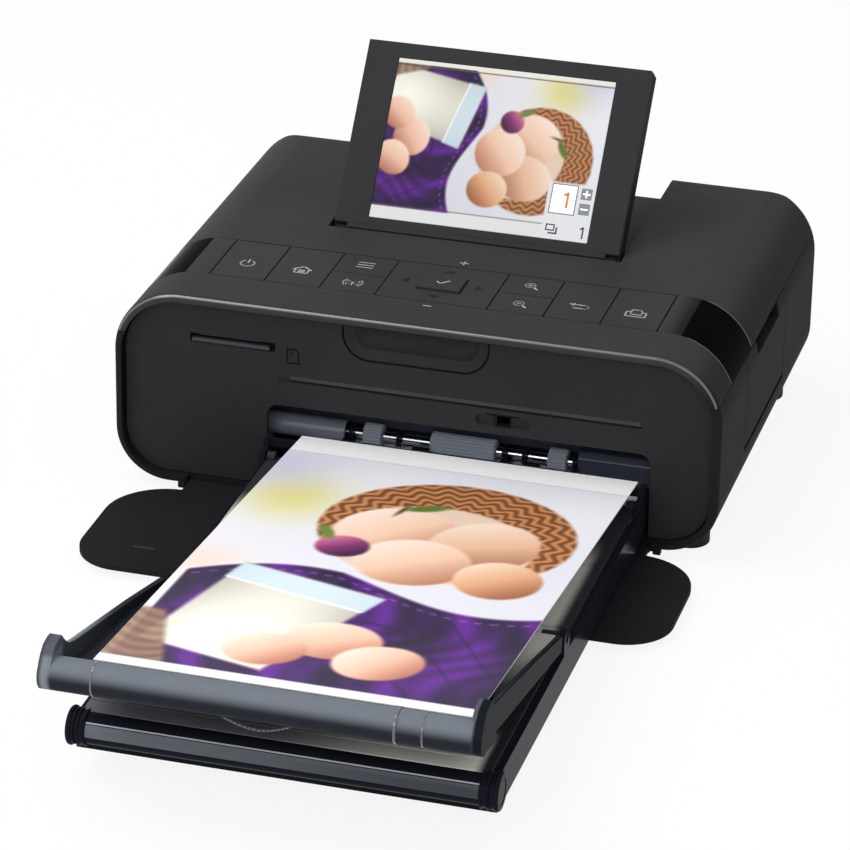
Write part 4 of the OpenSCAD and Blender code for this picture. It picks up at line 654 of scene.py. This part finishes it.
legend("down_legend", [[(x, -y) for x, y in arrow]], 0, PAD_Y - 9.2, "direction_pad", legend_dark)
legend("left_legend", [[(-y, x) for x, y in arrow]], -11, PAD_Y, "direction_pad", legend_dark)
legend("right_legend", [[(y, x) for x, y in arrow]], 11, PAD_Y, "direction_pad", legend_dark)
legend("more_copies_legend", level(1.2, width=0.4) + standing(1.2, 0.4), 2, 47.8, "case")
legend("fewer_copies_legend", level(1.1, width=0.4), 0, 14.8, "case")

PANEL_Y = 3  # the front panel's face, behind the rim


def on_panel(dx, dz):
    """Places a drawing on the front panel, seen from the front."""
    return lambda x, y, z: at(dx + x, PANEL_Y - z, dz + y)


plates("card_legend", line([(-1.7, -2.2), (-1.7, 2.2), (0.7, 2.2), (1.7, 1.2), (1.7, -2.2)], 0.5, True)
       + line([(-0.8, 1.4), (-0.8, 0.6)], 0.4) + line([(0.1, 1.4), (0.1, 0.6)], 0.4), 0.03,
       on_panel(-36.5, 47.4), legend_dark, "case")
# Long fold across the panel, drawn flat: a painted highlight on its upper slope and a painted shadow at its
# foot
abs_fold_painted_light = finish("moulded_abs_fold_painted_highlight", "#3f3f42", 0.5, grain_mm=0.5, grain_depth_mm=0.01, specular=0.05)
plates("fold_light", [[(-37.6, 0), (66.8, 0), (66.2, 1.15), (-37, 1.15)]], 0.03, on_panel(0, 39.9), abs_fold_painted_light,
       "case")
plates("fold_shadow", line([(-37.4, 0), (66.7, 0)], 0.34), 0.03, on_panel(0, 39.7), seam_black, "case")
plates("scoop_line", line([(-21.7, 59.2)] + arc(-13.7, 57, 8, 180, 270, 12) + arc(13.7, 57, 8, 270, 360, 12)
                          + [(21.7, 59.2)], STROKE), 0.02, on_panel(0, 0), seam_black, "case")
plates("catch_slit", level(5, width=0.5) + line([(-2.3, 0.1), (-2.3, -3.6)], 0.35)
       + line([(2.3, 0.1), (2.3, -3.6)], 0.35), 0.02, on_panel(26.2, 37.5), seam_black, "case")

# ------------------------------------------------------------------ picture


def blend(under, over, cover):
    """Lays one colour over others, where and as far as cover says."""
    return under * (1 - cover[..., None]) + np.array(over) * cover[..., None]


def soft(distance, edge=0.006):
    """1 inside a shape and 0 outside it, from the signed distance to its edge."""
    return np.clip(0.5 - distance / edge / 2, 0, 1)


def oval(u, v, cu, cv, ru, rv, turn=0.0):
    """Signed distance to an oval, about right near its edge, and the place in it as shares of its radii."""
    c, s = cosine(turn), sine(turn)
    a, b = (u - cu) * c + (v - cv) * s, -(u - cu) * s + (v - cv) * c
    return (np.sqrt((a / ru) ** 2 + (b / rv) ** 2) - 1) * min(ru, rv), a / ru, b / rv


def fruit(rgb, u, v, cu, cv, ru, rv, turn, light, mid, dark):
    """A round fruit lit from the upper left."""
    light, mid, dark = np.array(light), np.array(mid), np.array(dark)
    d, a, b = oval(u, v, cu, cv, ru, rv, turn)
    lit = np.clip(0.5 + 0.38 * b - 0.3 * a, 0, 1)[..., None]
    body = np.where(lit > 0.5, mid + (light - mid) * (lit - 0.5) * 2, dark + (mid - dark) * lit * 2)
    cover = soft(d)[..., None]
    return rgb * (1 - cover) + body * cover


PICTURE_TOP = 1.45


def still_life(u, v):
    """A made-up still life: pears in a straw basket, on a purple cloth with a jug of milk. u runs 0 to 1 to
    the right, v 0 to PICTURE_TOP up."""
    rgb = np.ones(u.shape + (3,)) * np.array((0.86, 0.86, 0.89))
    rgb += (0.07 * (v / PICTURE_TOP) - 0.03 * u)[..., None]
    # Blurred garden behind
    for cu, cv, r, c, k in (
            (0.12, 1.12, 0.15, (0.86, 0.82, 0.38), 0.7), (0.02, 1.3, 0.16, (0.72, 0.7, 0.84), 0.5),
            (0.92, 1.28, 0.2, (0.93, 0.93, 0.95), 0.8), (0.03, 0.62, 0.12, (0.93, 0.83, 0.76), 0.8)):
        d, a, b = oval(u, v, cu, cv, r, r)
        rgb = blend(rgb, c, k * np.exp(-np.clip(a * a + b * b, 0, 20)))
    # Straw basket: woven rings
    d, a, b = oval(u, v, 0.6, 1.02, 0.36, 0.33, -12)
    ring = np.sqrt(a * a + b * b)
    weave = 0.5 + 0.5 * np.sin(ring * 60 + 2.2 * np.sin(np.arctan2(b, a) * 24))
    straw = np.array((0.44, 0.27, 0.16)) + weave[..., None] * np.array((0.36, 0.28, 0.2))
    cover = soft(d)[..., None]
    rgb = rgb * (1 - cover) + straw * cover
    # Inside of the basket
    d, a, b = oval(u, v, 0.58, 0.93, 0.29, 0.25, -12)
    rgb = blend(rgb, (0.9, 0.8, 0.72), soft(d))
    # Pears, an apricot and a plum, each with its light, middle and dark colour
    pear = ((0.98, 0.9, 0.84), (0.94, 0.78, 0.68), (0.72, 0.48, 0.36))
    ripe_pear = ((0.97, 0.88, 0.8), (0.9, 0.72, 0.6), (0.62, 0.4, 0.3))
    ripe_apricot = ((0.96, 0.86, 0.76), (0.88, 0.66, 0.5), (0.6, 0.36, 0.24))
    plum = ((0.86, 0.5, 0.62), (0.5, 0.2, 0.42), (0.2, 0.07, 0.2))
    rgb = fruit(rgb, u, v, 0.47, 0.98, 0.17, 0.16, 10, *pear)
    rgb = fruit(rgb, u, v, 0.72, 0.96, 0.15, 0.17, -20, *ripe_pear)
    rgb = fruit(rgb, u, v, 0.57, 0.8, 0.16, 0.15, 0, *pear)
    rgb = fruit(rgb, u, v, 0.82, 0.76, 0.12, 0.12, 0, *ripe_apricot)
    rgb = fruit(rgb, u, v, 0.36, 0.84, 0.075, 0.07, 0, *plum)
    # A stalk and two leaves
    for cu, cv, ru, rv, turn, c in ((0.44, 1.13, 0.007, 0.035, -15, (0.25, 0.15, 0.08)),
                                    (0.5, 1.16, 0.06, 0.02, 24, (0.36, 0.46, 0.2)),
                                    (0.29, 0.92, 0.05, 0.018, 120, (0.42, 0.52, 0.24))):
        d, a, b = oval(u, v, cu, cv, ru, rv, turn)
        rgb = blend(rgb, c, soft(d))
    # Purple cloth with folds
    hem = 0.62 + 0.1 * np.sin(u * 5.2 + 0.4) - 0.28 * np.clip(0.42 - u, 0, 1)
    broad = np.sin(u * 24 + 7 * v + 3 * np.sin(v * 6 + u * 3))
    narrow = np.sin(u * 61 - 34 * v + 4 * np.sin(v * 13))
    fold = np.clip(0.62 + 0.3 * broad + 0.14 * narrow, 0, 1) ** 1.7
    crease = 1 - 0.45 * np.exp(-((np.sin(u * 9 + 15 * v + 2 * np.sin(u * 7)) + 0.1) / 0.14) ** 2)
    cloth = np.array((0.09, 0.02, 0.17)) + (fold * crease)[..., None] * np.array((0.26, 0.06, 0.36))
    cover = soft(v - hem, 0.008)[..., None] * np.clip((u - 0.02) / 0.01, 0, 1)[..., None]
    rgb = rgb * (1 - cover) + cloth * cover
    stitch = soft(np.abs(v - hem + 0.035) - 0.004, 0.004) * (np.sin(u * 150) > 0)
    rgb = blend(rgb, (0.62, 0.44, 0.74), 0.6 * stitch * cover[..., 0])
    # Jug of milk at the lower left, with a pale blue glass rim
    c, s = cosine(-14), sine(-14)
    a, b = (u - 0.3) * c + (v - 0.34) * s, -(u - 0.3) * s + (v - 0.34) * c
    half = 0.2 + 0.06 * b
    jug = np.maximum(np.abs(a) - half, np.abs(b) - 0.27)
    across = np.clip(a / 0.22, -1, 1)
    milk = np.array((0.93, 0.92, 0.87)) - (0.17 * across[..., None] ** 2) - 0.05 * np.sin(b * 9)[..., None]
    cover = soft(jug, 0.008)[..., None]
    rgb = rgb * (1 - cover) + milk * cover
    rim = soft(np.maximum(np.abs(b - 0.215) - 0.05, np.abs(a) - half - 0.005), 0.006)
    rgb = blend(rgb, (0.8, 0.88, 0.93), 0.8 * rim)
    glint = soft(np.maximum(np.abs(b - 0.165) - 0.004, np.abs(a) - half), 0.003)
    rgb = blend(rgb, (0.97, 0.98, 0.99), glint)
    # Apricots in front of the jug
    apricot = ((0.98, 0.88, 0.81), (0.93, 0.74, 0.64), (0.68, 0.42, 0.33))
    rgb = fruit(rgb, u, v, 0.53, 0.26, 0.13, 0.11, 0, *apricot)
    rgb = fruit(rgb, u, v, 0.38, 0.16, 0.11, 0.095, 12, *apricot)
    rgb = fruit(rgb, u, v, 0.68, 0.17, 0.12, 0.1, 24, *apricot)
    # Wooden board in the lower left corner
    d = np.maximum(u + 0.35 * v - 0.17, v - 0.3)
    grain = 0.5 + 0.5 * np.sin(v * 130 + 4 * np.sin(u * 21))
    board = np.array((0.5, 0.38, 0.3)) + grain[..., None] * 0.1
    cover = soft(d, 0.01)[..., None] * 0.9
    rgb = rgb * (1 - cover) + board * cover
    return np.clip(rgb, 0, 1)


PAPER_BACK = 0.85  # grey of the sheet's underside


def sheet_mesh(name, nu, nv, place, colour):
    """A closed thin sheet whose upper face carries colours worked out point by point."""
    us, vs = np.linspace(0, 1, nu), np.linspace(0, 1, nv)
    u, v = np.meshgrid(us, vs)
    rgb = colour(u, v)
    rgb = np.where(rgb <= 0.04045, rgb / 12.92, ((rgb + 0.055) / 1.055) ** 2.4)
    top = [place(a, b, 0) for b in vs for a in us]
    under = [place(a, b, 1) for b in (0, 1) for a in (0, 1)]
    faces = [(r * nu + c, r * nu + c + 1, (r + 1) * nu + c + 1, (r + 1) * nu + c)
             for r in range(nv - 1) for c in range(nu - 1)]
    n = nu * nv
    faces.append((n, n + 2, n + 3, n + 1))
    faces.append(tuple([n, n + 1] + [c for c in range(nu - 1, -1, -1)]))
    faces.append(tuple([n + 3, n + 2] + [(nv - 1) * nu + c for c in range(nu)]))
    faces.append(tuple([n + 2, n] + [r * nu for r in range(nv)]))
    faces.append(tuple([n + 1, n + 3] + [r * nu + nu - 1 for r in range(nv - 1, -1, -1)]))
    mesh = bpy.data.meshes.new(name)
    mesh.from_pydata([tuple(p) for p in top + under], [], faces)
    ink = mesh.color_attributes.new("ink", "FLOAT_COLOR", "POINT")
    values = np.ones((n + 4, 4), np.float32)
    values[:n, :3] = rgb.reshape(-1, 3)
    values[n:, :3] = PAPER_BACK
    ink.data.foreach_set("color", values.ravel())
    mesh.validate()
    return mesh


# The print lies where the CAD sheet lies, with white tear-off strips at both ends
SHEET_X = middle("printed_sheet").x
SHEET_Y, SHEET_Z = -0.8, 23.05  # where it leaves the case, from which it slopes
SHEET_SLOPE = 5.8  # degrees
SHEET_W, SHEET_L, SHEET_T, SHEET_REAR = 100, 177.0, 0.3, 2.7
STRIP_FRONT, STRIP_REAR = 4.6, 164.6  # the strips' tear lines, from the front edge


def on_print(u, v, below):
    """u across the sheet, v from its front edge to its rear edge."""
    y = SHEET_REAR - SHEET_L * (1 - v)
    z = 0.0 if below else SHEET_T
    c, s = cosine(SHEET_SLOPE), sine(SHEET_SLOPE)
    return at(SHEET_X + SHEET_W * (u - 0.5), SHEET_Y + y * c + z * s, SHEET_Z - y * s + z * c)


def print_colour(u, v):
    """The picture between its strips, with painted light making it a little brighter towards the front."""
    y = v * SHEET_L
    rgb = still_life(u, (y - STRIP_FRONT) / SHEET_W * 0.9)
    # painted light: brighter towards the sheet's front edge
    rgb = blend(rgb * (1.1 - 0.1 * v)[..., None], (1, 1, 1), soft(y - STRIP_FRONT, 0.2))
    rgb = blend(rgb, (1, 1, 1), soft(STRIP_REAR - y, 0.4))
    return np.clip(blend(rgb, (0.8, 0.84, 0.9), soft(np.abs(y - STRIP_REAR) - 0.3, 0.3)), 0, 1)


settle("picture_print", sheet_mesh("picture_print", 201, 355, on_print, print_colour), photo_print,
       "printed_sheet", ("printed_sheet",))

# ------------------------------------------------------------------ display

TILT = 51.6  # degrees that the screen leans back from the table
HINGE = middle("screen_hinge_pins")
GLASS_W, GLASS_H = 66.9, 50.1
GLASS_LEFT, GLASS_FOOT, GLASS_TOP = -GLASS_W / 2, 5.15, 2.05  # from the hinge's middle, up and out
PICTURE_W, PICTURE_H = 67, 50.2  # the measure in which the picture on the glass is laid out


def on_screen(x, s, n):
    """A point of the screen: x from its middle, s up from its hinge axis, n out of its face."""
    c, d = cosine(TILT), sine(TILT)
    return at(HINGE.x + x, HINGE.y + s * c - n * d, HINGE.z + s * d + n * c)


def on_display(u, v, below):
    """u across the glass, v up from its foot."""
    return on_screen(GLASS_LEFT + GLASS_W * u, GLASS_FOOT + GLASS_H * v, GLASS_TOP - (0.9 if below else 0))


def display_colour(u, v):
    """The same picture turned on its side, under a pale strip, above a grey one, and with a corner for the
    count of copies."""
    x, s = u * PICTURE_W, v * PICTURE_H
    rgb = still_life(np.clip(1 - (s - 4.2) / 46 * 0.98, 0, 1), 0.1 + u * 1.3)
    rgb = blend(rgb, (0.9, 0.9, 0.9), soft(s - 3.9, 0.15))
    for edge in (4.4, 48.4):
        rgb = blend(rgb, (0.35, 0.3, 0.28), soft(np.abs(s - edge) - 0.12, 0.1))
    rgb = blend(rgb, (0.93, 0.92, 0.88), soft(48.9 - s, 0.15))
    rgb = blend(rgb, (0.9, 0.91, 0.92), soft(np.maximum(52.6 - x, s - 17.6), 0.15))
    return np.clip(rgb, 0, 1)


settle("display_picture", sheet_mesh("display_picture", 181, 141, on_display, display_colour), lit_display,
       "screen", ("screen_window",))


def lit_ink(name, code, glow=0.3):
    """Lit ink of the display's signs."""
    material = finish(name, code, 0.3, grain_mm=0.5, grain_depth_mm=0.001, shade=0.01)
    shader = material.node_tree.nodes["Principled BSDF"]
    shader.inputs["Emission Color"].default_value = linear(code)
    shader.inputs["Emission Strength"].default_value = glow
    return material


def sign(name, shapes, x, s, material, layer=1):
    """A sign on the display, with its middle at x, s; a higher layer lies over a lower one."""
    return plates(name, shapes, GLASS_TOP + 0.02 * layer, lambda a, b, n: on_screen(x + a, s + b, n),
                  material, "screen", depth=0.03)


def block(w, h):
    """A filled rectangle round the middle."""
    return [[(-w / 2, -h / 2), (w / 2, -h / 2), (w / 2, h / 2), (-w / 2, h / 2)]]


lit_white = lit_ink("lit_white", "#fbfbfb")
lit_grey = lit_ink("lit_grey", "#77797c", 0.1)
lit_orange = lit_ink("lit_orange", "#c8731c", 0.2)
lit_dark = lit_ink("lit_dark", "#2b2c30", 0.0)
sign("count_frame", block(8.0, 9.4), 24.2, 17.6, lit_grey)
sign("count_field", block(7.2, 8.6), 24.2, 17.6, lit_white, 2)
sign("count_figure", line([(-0.9, 1.5), (0.1, 2.1), (0.1, -2.2)], 0.75), 25.3, 17.4, lit_orange, 3)
for name, s, strokes in (("plus", 19.9, level(1, width=0.5) + standing(1, 0.5)),
                         ("minus", 15.2, level(1, width=0.5))):
    sign(name + "_field", block(3.3, 3.5), 30.9, s, lit_grey)
    sign(name + "_sign", strokes, 30.9, s, lit_white, 2)
sign("pages_sign", line([(-1.5, -0.4), (-1.5, 1.3), (0.9, 1.3), (0.9, -0.4)], 0.4, True)
     + line([(-0.6, -1.3), (1.7, -1.3), (1.7, 0.5)], 0.5), 22.0, 8.2, lit_dark)
sign("total_figure", line([(-0.7, 1.1), (0.1, 1.6), (0.1, -1.7)], 0.5), 31.6, 8.0, lit_dark)

# ------------------------------------------------------------------ small parts of the outside

# Trough behind the ink door's finger notch, as x and height above the notch's floor
NOTCH_Z = 45.1
trough = ((89.8, -0.2), (87.3, -0.1), (86.6, 0.8), (86.5, 4), (86.1, 4), (86.2, 0.6), (87.1, -0.5),
          (89.8, -0.6))
build("notch_trough", [at(x, y, NOTCH_Z + dz) for y in (50.1, 79.9) for x, dz in trough],
      skin(2, len(trough)), abs_lower, "ink_door", width_mm=0.2)

# Painted light: a pale sheet on the sloping floor of the output lid, standing in for the paper's glimpse
# through it
LID_FLOOR_Y, LID_FLOOR_Z, LID_FLOOR_FALL = -96.75, 22.2, 0.2041
glimpse = ((48, -150), (66.4, -150), (66.4, -91), (48, -91))
points = [at(x, y, LID_FLOOR_Z - LID_FLOOR_FALL * (y - LID_FLOOR_Y) + lift) for lift in (0.28, 0.04)
          for x, y in glimpse]
build("lid_floor_glimpse", points, skin(2, len(glimpse)), styrene_pale, "output_lid")

# Lip along the foot of the screen's frame
extruded("screen_foot", (-39.2, 40.2), [(65.36, 64.2), (64.5, 63.05), (64.9, 62.9), (66.1, 63.6)], abs_bezel,
         "screen", 0.15)

# The card slot: a sloping flap in its lower half, a black sheet of painted shadow in its mouth above it and a
# painted violet reflection along its top
SLOT_HALF, SLOT_FOOT, SLOT_TOP = 12.7, 47.85, 50.65
bay_piece("card_slot_flap", SLOT_X - SLOT_HALF, SLOT_X + SLOT_HALF - 1.6,
          [(3.25, SLOT_FOOT), (3.2, 48.3), (4.4, 49.5), (5.1, 49.4), (5.1, SLOT_FOOT)], abs_flap)
bay_piece("card_slot_mouth", SLOT_X - SLOT_HALF, SLOT_X + SLOT_HALF,
          [(4.9, SLOT_FOOT), (4.9, SLOT_TOP), (5.15, SLOT_TOP), (5.15, SLOT_FOOT)], seam_black)
bay_piece("card_slot_reflection", SLOT_X - SLOT_HALF + 2.5, SLOT_X + SLOT_HALF - 4.5,
          [(3.2, 50.5), (3.2, 50.66), (4.2, 50.66), (4.2, 50.5)], violet_reflection_paint)

# Seams round the output lid's lip, which is a round of LIP_R, and the edge of the thumb tab under it
LIP_Y, LIP_Z, LIP_R, LIP_REACH = -179.432, 38.384, 4.5, 4.495


def lip_seam(name, x, width, proud, steps=40):
    """A raised seam round the lip, kept flush where the lip reaches furthest forward."""
    points, half, foot = [], width / 2, LIP_R - 0.2
    for k in range(steps + 1):
        a = 30 + 210 * k / steps
        reach = LIP_R + proud
        if cosine(a) < 0:
            reach = min(reach, LIP_REACH / max(-cosine(a), 0.001))
        points += [at(x + dx, LIP_Y + r * cosine(a), LIP_Z + r * sine(a))
                   for dx, r in ((-half, foot), (-half, reach), (half, reach), (half, foot))]
    return build(name, points, skin(steps + 1, 4), styrene_clear, "output_lid", angle=30)


lip_seam("lip_seam_left", -30.7, 0.5, 0.1)
lip_seam("lip_seam_inner", 48.5, 0.7, 0.3)
lip_seam("lip_seam_right", 55.6, 0.5, 0.1)
TAB_LEFT, TAB_W, TAB_Z, TAB_DROP = 1.8, 20.1, 34.2, 2.9
tab = [(TAB_LEFT + TAB_W * k / 16, TAB_Z - TAB_DROP * math.sin(math.pi * k / 16)) for k in range(1, 16)]
plates("thumb_tab_edge", line([(TAB_LEFT, TAB_Z + 0.4)] + tab + [(TAB_LEFT + TAB_W, TAB_Z + 0.4)], 0.34), 0.3,
       lambda x, z, d: at(x, -180.2 - d, z), styrene_clear, "output_lid", 0.6)

# Front of the cassette: a painted sheen and a painted highlight line along the bar, ticks, a black ledge up
# to the inner lid, ringed caps
BAR_X = middle("cassette_base").x
BAR_Y, BAR_Z, BAR_R = -160.7, 12.9, 4.4


def round_bar(radius, degrees):
    """The y and z of a place round the front of the bar, at an angle above level."""
    return BAR_Y - radius * cosine(degrees), BAR_Z + radius * sine(degrees)


# painted sheen and, in the legends' grey ink, a painted highlight line round the bar's front
for name, low, high, material, proud in (("bar_band", -8, 38, bar_sheen_paint, 0.06),
                                         ("bar_band_line", 41, 46, legend_grey_and_highlight, 0.07)):
    turns = [low + (high - low) * k / 8 for k in range(9)]
    outline = [round_bar(BAR_R + proud, a) for a in turns] + [round_bar(BAR_R - 0.3, a) for a in turns[::-1]]
    extruded(name, (-41.5, 66.8), outline, material, "paper_cassette", angle=50)
for k, x in enumerate((10.6, 12.5)):
    plates("bar_tick_%d" % k, [[(x, -4), (x + 0.35, -4), (x + 0.35, 34), (x, 34)]], 0.14,
           lambda x, a, d: at(x, *round_bar(BAR_R + d, a)), styrene_clear, "paper_cassette",
           0.2)
# ledge in the inner lid's plastic, with its painted light and shade
extruded("front_ledge", (-41.6, 67.4),
         [(-154.95, 16.6), (-154.95, 17.85), (-158.0, 17.75), (-160.2, 17.5), (-160.2, 16.4)], styrene_inner,
         "paper_cassette", 0.15)
for side, hand in ((-1, "left"), (1, "right")):
    for k, (x, w, r) in enumerate(((57.0, 1.5, 5.3), (54.6, 0.9, 5.15), (52.9, 0.9, 5.0))):
        ring = [(BAR_X + side * (x + w / 2 * cosine(a)), r - 0.6 + 0.6 * sine(a))
                for a in [22.5 * j for j in range(9)]]
        ring += [(BAR_X + side * (x - w / 2), r - 1.6), (BAR_X + side * (x + w / 2), r - 1.6)]
        turned("cap_ring_%s_%d" % (hand, k), ring, BAR_Y, BAR_Z, styrene_black, "paper_cassette")

# Mark pressed into the front door's left wing
plates("door_mark", block(6.6, 1.1), 0.02, lambda x, y, z: at(-66 + x, -44 + y, 4.0 + z), abs_bezel,
       "front_door")


# ------------------------------------------------------------------ stage, light and camera

def area_lamp(name, place, aim, size, power):
    """A white softbox at a place, turned to its aim: sizes in metres, power in watts."""
    lamp = bpy.data.lights.new(name, "AREA")
    lamp.shape = "RECTANGLE"
    lamp.size, lamp.size_y = size
    lamp.energy = power
    obj = bpy.data.objects.new(name, lamp)
    obj.location = place
    obj.rotation_euler = (Vector(aim) - Vector(place)).to_track_quat("-Z", "Y").to_euler()
    bpy.context.scene.collection.objects.link(obj)


area_lamp("softbox_over_left", (-0.55, -0.2, 0.95), (0, -0.02, 0.04), (0.7, 0.7), 5.8)
area_lamp("softbox_right", (0.75, 0.25, 0.75), (0, 0, 0.04), (0.5, 0.5), 1.3)
area_lamp("softbox_front", (0.15, -1.1, 0.7), (0, -0.05, 0.04), (0.9, 0.5), 4.7)


def seen_straight(tree):
    """1 for the rays that show the studio itself: from the camera, off gloss, or through clear plastic."""
    path = add(tree, "ShaderNodeLightPath")
    seen = add(tree, "ShaderNodeMath", {0: path.outputs["Is Camera Ray"], 1: path.outputs["Is Glossy Ray"]},
               operation="MAXIMUM")
    return add(tree, "ShaderNodeMath", {0: seen.outputs[0], 1: path.outputs["Is Transmission Ray"]},
               operation="MAXIMUM").outputs[0]


FLOOR_R, FLOOR_SIDES = 3, 64
FLOOR_GLOW = 0.88  # share of the floor's whiteness that is its own; the rest takes the shadow
floor_mesh = bpy.data.meshes.new("floor")
form = bmesh.new()
turns = [2 * math.pi * k / FLOOR_SIDES for k in range(FLOOR_SIDES)]
form.faces.new([form.verts.new((FLOOR_R * math.cos(a), FLOOR_R * math.sin(a), 0)) for a in turns])
form.to_mesh(floor_mesh)
form.free()
floor = bpy.data.objects.new("floor", floor_mesh)
bpy.context.scene.collection.objects.link(floor)
floor_white = bpy.data.materials.new("matt_white_paper_sweep")
floor_white.use_nodes = True
tree = floor_white.node_tree
tree.nodes.clear()
share = add(tree, "ShaderNodeMath", {0: seen_straight(tree), 1: FLOOR_GLOW}, operation="MULTIPLY")
matt = add(tree, "ShaderNodeBsdfDiffuse", {"Color": linear("#f4f4f4")})
white = add(tree, "ShaderNodeEmission", {"Color": (1, 1, 1, 1), "Strength": 1.0})
mix = add(tree, "ShaderNodeMixShader", {0: share.outputs[0], 1: matt.outputs[0], 2: white.outputs[0]})
tree.links.new(mix.outputs[0], add(tree, "ShaderNodeOutputMaterial").inputs["Surface"])
floor_mesh.materials.append(floor_white)

# The studio is brighter on the object's left than on its right
STUDIO_LEFT, STUDIO_RIGHT = 0.84, 0.34
world = bpy.data.worlds.new("studio")
bpy.context.scene.world = world
world.use_nodes = True
tree = world.node_tree
tree.nodes.clear()
aside = add(tree, "ShaderNodeSeparateXYZ", {"Vector": add(tree, "ShaderNodeTexCoord").outputs["Generated"]})
lit = add(tree, "ShaderNodeMapRange", {"Value": aside.outputs["X"], "From Min": -1.0, "From Max": 1.0,
                                       "To Min": STUDIO_LEFT, "To Max": STUDIO_RIGHT})
glow = add(tree, "ShaderNodeMapRange", {"Value": seen_straight(tree), "To Min": lit.outputs["Result"],
                                        "To Max": 1.0})
back = add(tree, "ShaderNodeBackground", {"Color": (1, 1, 1, 1), "Strength": glow.outputs["Result"]})
tree.links.new(back.outputs[0], add(tree, "ShaderNodeOutputWorld").inputs["Surface"])

scene = bpy.context.scene
scene.view_settings.view_transform = "Standard"
# The camera, as angles in degrees and a place in mm of the case
AZIMUTH, ELEVATION, ROLL = 15.5, 25.32, 0.96
CAMERA_PLACE = at(300.754, -1067.906, 559.399)
backwards = Vector((sine(AZIMUTH) * cosine(ELEVATION), -cosine(AZIMUTH) * cosine(ELEVATION), sine(ELEVATION)))
sideways = Vector((cosine(AZIMUTH), sine(AZIMUTH), 0))
upwards = backwards.cross(sideways)
right = cosine(ROLL) * sideways + sine(ROLL) * upwards
up = cosine(ROLL) * upwards - sine(ROLL) * sideways
camera = bpy.data.objects.new("camera", bpy.data.cameras.new("camera"))
camera.data.lens = 181.54
camera.data.sensor_width = 36
camera.data.sensor_fit = "HORIZONTAL"
camera.data.shift_x = -0.0021
camera.data.shift_y = -0.0082
camera.data.clip_end = 20
turn = Matrix((right, up, backwards)).transposed().to_4x4()
camera.matrix_world = Matrix.Translation(CAMERA_PLACE) @ turn
scene.collection.objects.link(camera)
scene.camera = camera

bpy.context.view_layer.update()
